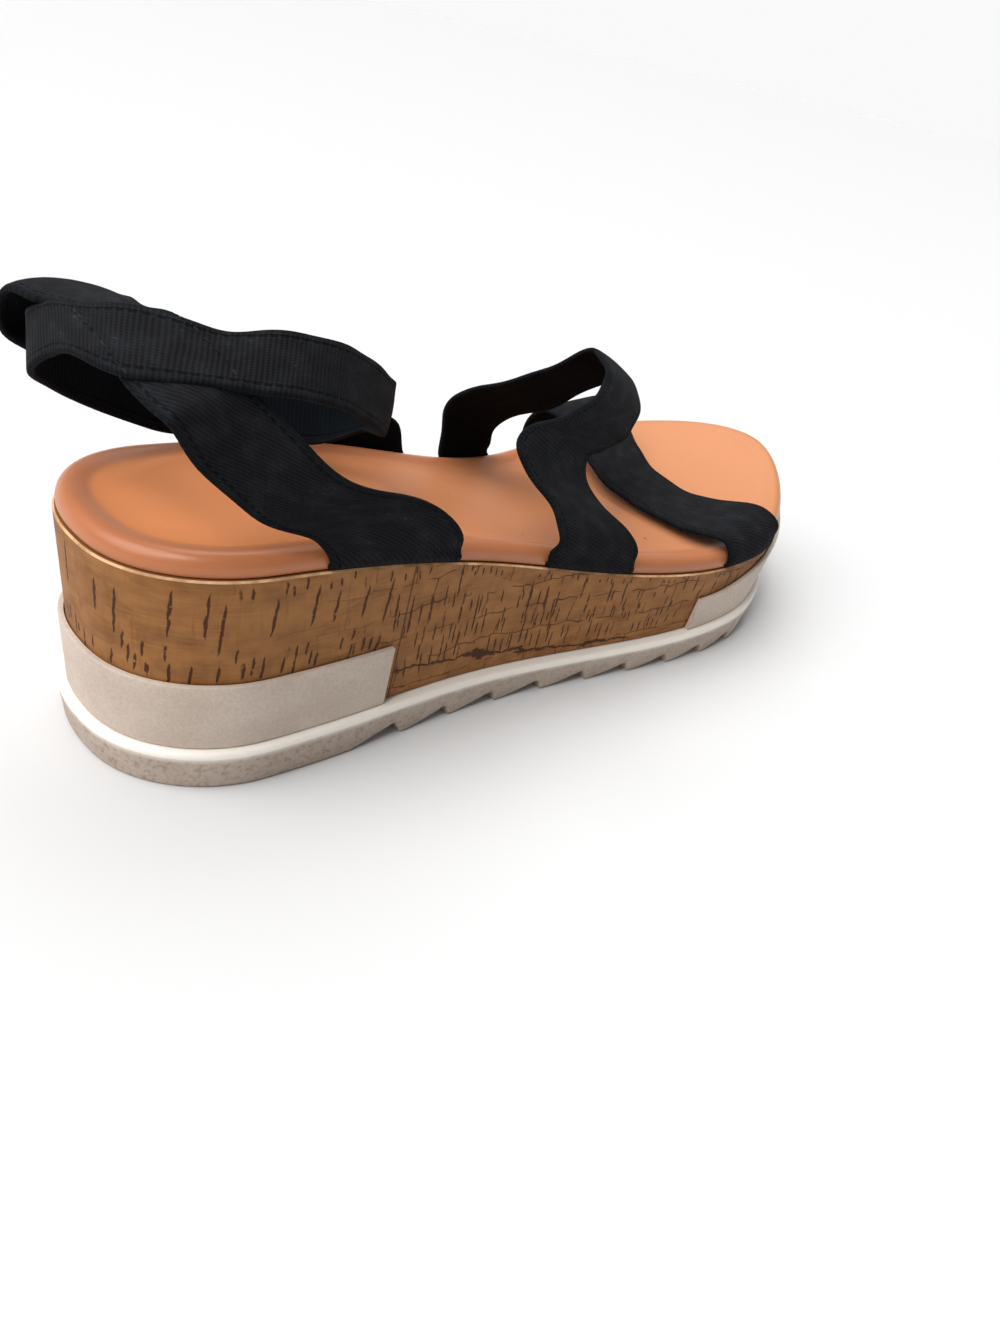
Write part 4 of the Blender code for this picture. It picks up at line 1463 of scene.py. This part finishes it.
@dataclass
class AnkleStraps:
    """Heel sling and ankle band, sewn together where they cross on each side."""

    sizes: StrapSizes
    outer_anchor: Span = (0.158, 0.305)
    inner_anchor: Span = (0.305, 0.461)
    outer_seam: Seam = Seam(
        ((4.2, -0.55, 5.6, 0.30), (3.1, -0.05, 4.5, 1.00), (1.9, 0.40, 3.7, 1.08)), Lie.INSIDE)
    inner_seam: Seam = Seam(((15.6, 0.45, 15.1, 1.60), (14.2, 0.05, 13.7, 1.40)), Lie.OUTSIDE)
    seam_steps: int = 3
    seam_sink: float = 0.8 * MM
    overlap: int = 3
    stitch_length: float = 1.9 * MM
    stitch_pitch: float = 2.7 * MM
    stitch_radius: float = 0.22 * MM
    stitch_margin: float = 0.09

    def __post_init__(self) -> None:
        """Work out the band's loop, with its overlap added at both ends."""
        rows = self.sizes.rows(BAND_ROWS)[:, [0, -1]]
        self.loop = np.concatenate([rows[-self.overlap:], rows, rows[:self.overlap]])
        self.places = chord_places(self.loop)

    def on_band(self, row: np.ndarray, up: np.ndarray, lift: float) -> tuple[np.ndarray, np.ndarray]:
        """Points on the band and its outward normals there.

        Args:
            row: rows of the band, with parts of a row allowed.
            up: shares of the band's width, from its lower edge.
            lift: distance off the band's middle surface.

        Returns:
            Places and unit normals.
        """
        reach = 0.02
        row = np.asarray(row, float) + self.overlap
        numbers = np.arange(len(self.loop))
        up = np.asarray(up, float)[:, None]
        before, here, after = (
            natural_spline(self.places, self.loop, np.interp(row + move, numbers, self.places))
            for move in (-reach, 0.0, reach)
        )
        behind, point, ahead = (
            edges[:, 0] + up * (edges[:, 1] - edges[:, 0])
            for edges in (before, here, after)
        )
        normal = np.cross(ahead - behind, here[:, 1] - here[:, 0])
        normal /= np.linalg.norm(normal, axis=1, keepdims=True)
        return point + lift * normal, normal

    def seam_rows(self, seam: Seam) -> np.ndarray:
        """Rows of the sling where it lies on the band.

        Args:
            seam: the seam's places on the band.

        Returns:
            Rows by columns by 3 places.
        """
        table = np.array(seam.rows)
        places = np.linspace(0, len(table) - 1, self.seam_steps * (len(table) - 1) + 1)
        dense = natural_spline(np.arange(len(table)), table, places)
        lift = seam.lie.value * (self.sizes.thickness - self.seam_sink)
        share = np.linspace(0, 1, self.sizes.table_columns)
        rows = dense[:, :1] + share * (dense[:, 2:3] - dense[:, :1])
        ups = dense[:, 1:2] + share * (dense[:, 3:4] - dense[:, 1:2])
        points, _ = self.on_band(rows.ravel(), ups.ravel(), lift)
        return points.reshape(len(dense), -1, 3)

    def build_sling(self) -> bpy.types.Object:
        """Build the sling: inside the band from its outer end, round the back, and outside the band.

        Returns:
            The dressed piece.
        """
        middle = np.concatenate([
            self.sizes.rows(SLING_OUTER_ROWS),
            self.seam_rows(self.outer_seam),
            self.sizes.rows(SLING_BACK_ROWS),
            self.seam_rows(self.inner_seam),
            self.sizes.rows(SLING_INNER_ROWS),
        ])
        rows = self.sizes.anchored(self.outer_anchor, self.inner_anchor, middle)
        piece = self.sizes.ribbon("heel_sling", rows)
        finish = ElasticFinish("sling_elastic", ribs=450, twill=2.0)
        return dress(piece, finish.make(), "ankle_straps")

    def build_band(self) -> bpy.types.Object:
        """Build the band: a closed loop at even steps.

        Returns:
            The dressed piece.
        """
        first = self.places[self.overlap]
        loop = self.places[len(BAND_ROWS) + self.overlap] - first
        count = int(round(loop / self.sizes.step))
        edges = natural_spline(self.places, self.loop, first + np.arange(count) * loop / count)
        share = np.linspace(0, 1, self.sizes.table_columns)[None, :, None]
        rows = edges[:, :1] + share * (edges[:, 1:] - edges[:, :1])
        piece = self.sizes.ribbon("ankle_band", rows, closed=True)
        finish = ElasticFinish("band_elastic", ribs=900, twill=0.0)
        return dress(piece, finish.make(), "ankle_straps")

    def stitch_line(self, seam: Seam, share: float) -> tuple[np.ndarray, np.ndarray]:
        """Line on the band's outer face along one edge of the sling, where it lies on the band.

        Args:
            seam: the seam's places on the band.
            share: share of the sling's width.

        Returns:
            Places along the line, and outward normals there.
        """
        table = np.array(seam.rows)
        places = np.linspace(-0.6, len(table), 300)
        dense = natural_spline(np.arange(len(table)), table, places)
        row = dense[:, 0] + share * (dense[:, 2] - dense[:, 0])
        up = dense[:, 1] + share * (dense[:, 3] - dense[:, 1])
        kept = (up > 0.02) & (up < 0.98)
        height = self.sizes.thickness / 2 + self.stitch_radius * 0.2
        if seam.lie is Lie.OUTSIDE:
            height += self.sizes.thickness - self.seam_sink
        return self.on_band(row[kept], up[kept], height)

    def build_stitches(self) -> bpy.types.Object:
        """Build the stitches: six-sided rods that taper at both ends, one after another along each seam.

        Returns:
            The dressed piece.
        """
        margins = (self.stitch_margin, 1 - self.stitch_margin)
        lines = [self.stitch_line(self.outer_seam, share) for share in margins]
        lines += [self.stitch_line(self.inner_seam, self.stitch_margin)]
        sizes = (self.stitch_length, self.stitch_pitch, self.stitch_radius)
        rods = np.concatenate([rods_along(*line, *sizes) for line in lines])
        return dress(rod_object("ankle_stitches", rods), ThreadFinish().make())


def rods_along(
    line: np.ndarray, normals: np.ndarray, length: float, pitch: float, radius: float
) -> np.ndarray:
    """Sections of short rods along a line.

    A rod's ring has six points at 60 degrees round the line's direction, and the rings' radii are shares
    of the full radius, so that both ends taper and sink.

    Args:
        line: places along the line.
        normals: outward normals there.
        length: length of a rod.
        pitch: distance from one rod to the next.
        radius: radius of a rod.

    Returns:
        Rods by rings by six by 3 places.
    """
    places = run_length(line)
    starts = np.arange(0, max(places[-1] - length, length / 10), pitch)
    shares = np.array([0.0, 0.12, 0.35, 0.65, 0.88, 1.0])
    sizes = np.array([0.3, 0.8, 1.0, 1.0, 0.8, 0.3])
    sinks = np.array([-0.9, -0.3, 0.0, 0.0, -0.3, -0.9]) * radius
    at = starts[:, None] + shares * length
    centre = np.stack([np.interp(at, places, line[:, k]) for k in range(3)], -1)
    normal = np.stack([np.interp(at, places, normals[:, k]) for k in range(3)], -1)
    direction = np.gradient(centre, axis=1)
    direction /= np.linalg.norm(direction, axis=2, keepdims=True)
    side = np.cross(direction, normal)
    side /= np.linalg.norm(side, axis=2, keepdims=True)
    centre = centre + normal * sinks[None, :, None]
    turn = np.arange(6) * math.tau / 6
    ring = np.cos(turn)[:, None] * side[:, :, None] + np.sin(turn)[:, None] * normal[:, :, None]
    return centre[:, :, None] + ring * (sizes * radius)[None, :, None, None]


def rod_object(name: str, rods: np.ndarray) -> bpy.types.Object:
    """One object of many closed rods, each ring joined to the next and both ends capped.

    Args:
        name: name of the piece.
        rods: rods by rings by six by 3 places.

    Returns:
        The new object.
    """
    count, rings, six = rods.shape[:3]
    base = np.arange(count)[:, None, None] * rings * six
    r, k = np.meshgrid(np.arange(rings - 1), np.arange(six), indexing="ij")
    beside = (k + 1) % six
    quad = np.stack([r * six + k, r * six + beside, (r + 1) * six + beside, (r + 1) * six + k], -1)
    quads = (base[..., None] + quad.reshape(1, -1, 1, 4)).reshape(-1, 4)
    first = (base[:, 0] + np.arange(six)).tolist()
    last = (base[:, 0] + (rings - 1) * six + np.arange(six)).tolist()
    mesh = bpy.data.meshes.new(name)
    mesh.from_pydata(rods.reshape(-1, 3).tolist(), [], quads.tolist() + first + last)
    return outward_object(name, mesh)


@dataclass
class Studio:
    """Camera at the photograph's angle, pale floor and soft lights."""

    eye: Triple = (-0.109728, -0.18660, 0.16290)
    right: Triple = (0.71037, -0.67758, 0.19041)
    up: Triple = (0.26156, 0.50531, 0.82234)
    lens: float = 27.06
    sensor: float = 36.0
    floor_radius: float = 14.0
    floor_rings: int = 24
    floor_sides: int = 64
    glow: float = 0.952
    sky: float = 0.20
    glow_top: float = 0.26
    far: Span = (0.62, 0.78)
    far_reach: float = 0.6
    key: Triple = (-0.60, 0.14, 0.75)
    key_strength: float = 2.8
    overhead: Triple = (0.15, 0.30, 0.92)
    overhead_strength: float = 1.75
    softness: float = 56
    small: Triple = (-1.65, -0.60, 2.64)
    small_size: float = 0.36
    small_power: float = 13.0

    def build(self) -> None:
        """Camera, floor, world and lights."""
        self._camera()
        self._floor()
        self._sky()
        key = self._light("key_light", "SUN", self.key, self.key_strength)
        overhead = self._light("overhead_light", "SUN", self.overhead, self.overhead_strength)
        key.data.angle = overhead.data.angle = math.radians(self.softness)
        small = self._light("small_light", "AREA", self.small, self.small_power)
        small.data.size = self.small_size
        small.location = self.small

    def _camera(self) -> None:
        """Camera from its place and the directions of its right and its top."""
        camera = bpy.data.objects.new("camera", bpy.data.cameras.new("camera"))
        camera.data.lens = self.lens
        camera.data.sensor_width = self.sensor
        camera.data.clip_start = 0.005
        bpy.context.scene.collection.objects.link(camera)
        right, up = Vector(self.right).normalized(), Vector(self.up).normalized()
        back = right.cross(up).normalized()
        up = back.cross(right)
        turn = Matrix((right, up, back)).transposed()
        camera.matrix_world = Matrix.Translation(self.eye) @ turn.to_4x4()
        bpy.context.scene.camera = camera

    def _floor(self) -> None:
        """Flat round floor of rings that widen as the square of their number."""
        radius = self.floor_radius * (np.arange(1, self.floor_rings + 1) / self.floor_rings) ** 2
        turn = np.arange(self.floor_sides) * math.tau / self.floor_sides
        x = radius[:, None] * np.cos(turn)
        y = radius[:, None] * np.sin(turn)
        points = np.stack([x, y, np.full_like(x, -0.05 * MM)], -1)
        uv = np.concatenate([points[..., :2], points[:, :1, :2]], axis=1)
        floor = grid_object("floor", points, uv, (False, True), [tuple(range(self.floor_sides))])
        floor.data.materials.append(FloorFinish().make())

    def _sky(self) -> None:
        """Dim surroundings with a white glow low over the far side of the floor."""
        world = bpy.data.worlds.new("surroundings")
        world.use_nodes = True
        tree = world.node_tree
        background = tree.nodes["Background"]
        direction = tree.nodes.new("ShaderNodeTexCoord").outputs["Generated"]
        split = tree.nodes.new("ShaderNodeSeparateXYZ")
        tree.links.new(direction, split.inputs[0])
        ahead = tree.nodes.new("ShaderNodeVectorMath")
        ahead.operation = "DOT_PRODUCT"
        ahead.inputs[1].default_value = (*self.far, 0)
        tree.links.new(direction, ahead.inputs[0])
        strength = self.sky
        for value, low, high in ((split.outputs["Z"], self.glow_top, self.glow_top / 2),
                                 (ahead.outputs["Value"], 0.0, self.far_reach)):
            fade = tree.nodes.new("ShaderNodeMapRange")
            fade.interpolation_type = "SMOOTHSTEP"
            fade.inputs["From Min"].default_value = min(low, high)
            fade.inputs["From Max"].default_value = max(low, high)
            fade.inputs["To Min"].default_value = self.glow if low > high else self.sky
            if isinstance(strength, float):
                fade.inputs["To Max"].default_value = strength
            else:
                tree.links.new(strength, fade.inputs["To Max"])
            tree.links.new(value, fade.inputs["Value"])
            strength = fade.outputs["Result"]
        tree.links.new(strength, background.inputs["Strength"])
        background.inputs["Color"].default_value = (1, 1, 1, 1)
        bpy.context.scene.world = world
        bpy.context.scene.view_settings.view_transform = "Standard"

    def _light(self, name: str, kind: str, towards: Triple, energy: float) -> bpy.types.Object:
        """Light turned to the shoe: two wide far ones, and a small one for the gloss of the footbed's rim.

        Args:
            name: name of the light.
            kind: Blender's kind of light.
            towards: direction of the light from the shoe.
            energy: strength of the light.

        Returns:
            The new light.
        """
        light = bpy.data.objects.new(name, bpy.data.lights.new(name, kind))
        light.data.energy = energy
        light.rotation_euler = Vector(towards).to_track_quat("Z", "Y").to_euler()
        bpy.context.scene.collection.objects.link(light)
        return light


def main() -> None:
    """Build and dress every piece, and then the studio."""
    logging.basicConfig(level=logging.INFO, format="%(name)s: %(message)s")
    shape = SoleShape()
    cork = CorkMidsole(shape)
    straps = StrapSizes(shape)
    ankle = AnkleStraps(straps)
    heel_band = WhiteStrip("heel_strip", "heel_band", "band_rubber", cork, 0.0, 0.243, 18 * MM)
    bumper_rise = ((0.667, 1.00), (0.715, 1.08), (0.765, 1.35), (0.800, 1.50), (0.900, 1.66), (1.000, 1.80))
    bumper = WhiteStrip("toe_strip", "toe_bumper", "bumper_rubber", cork, 0.667, 1.0, 12 * MM,
                        rise=bumper_rise)
    toe = CrossingStrap("toe_webbing", "toe_strap", "toe_elastic", straps, TOE_ROWS,
                        (0.694, 0.804), (0.684, 0.808))
    instep = CrossingStrap("instep_webbing", "instep_strap", "instep_elastic", straps, INSTEP_ROWS,
                           (0.421, 0.541), (0.514, 0.612))
    makers = [
        Outsole(shape).build, cork.build, heel_band.build, bumper.build, Footbed(shape).build,
        toe.build, instep.build, ankle.build_sling, ankle.build_band, ankle.build_stitches,
    ]
    for make in makers:
        piece = make()
        log.info("%s: %d faces", piece.name, len(piece.data.polygons))
    Studio().build()


if __name__ == "__main__":
    main()
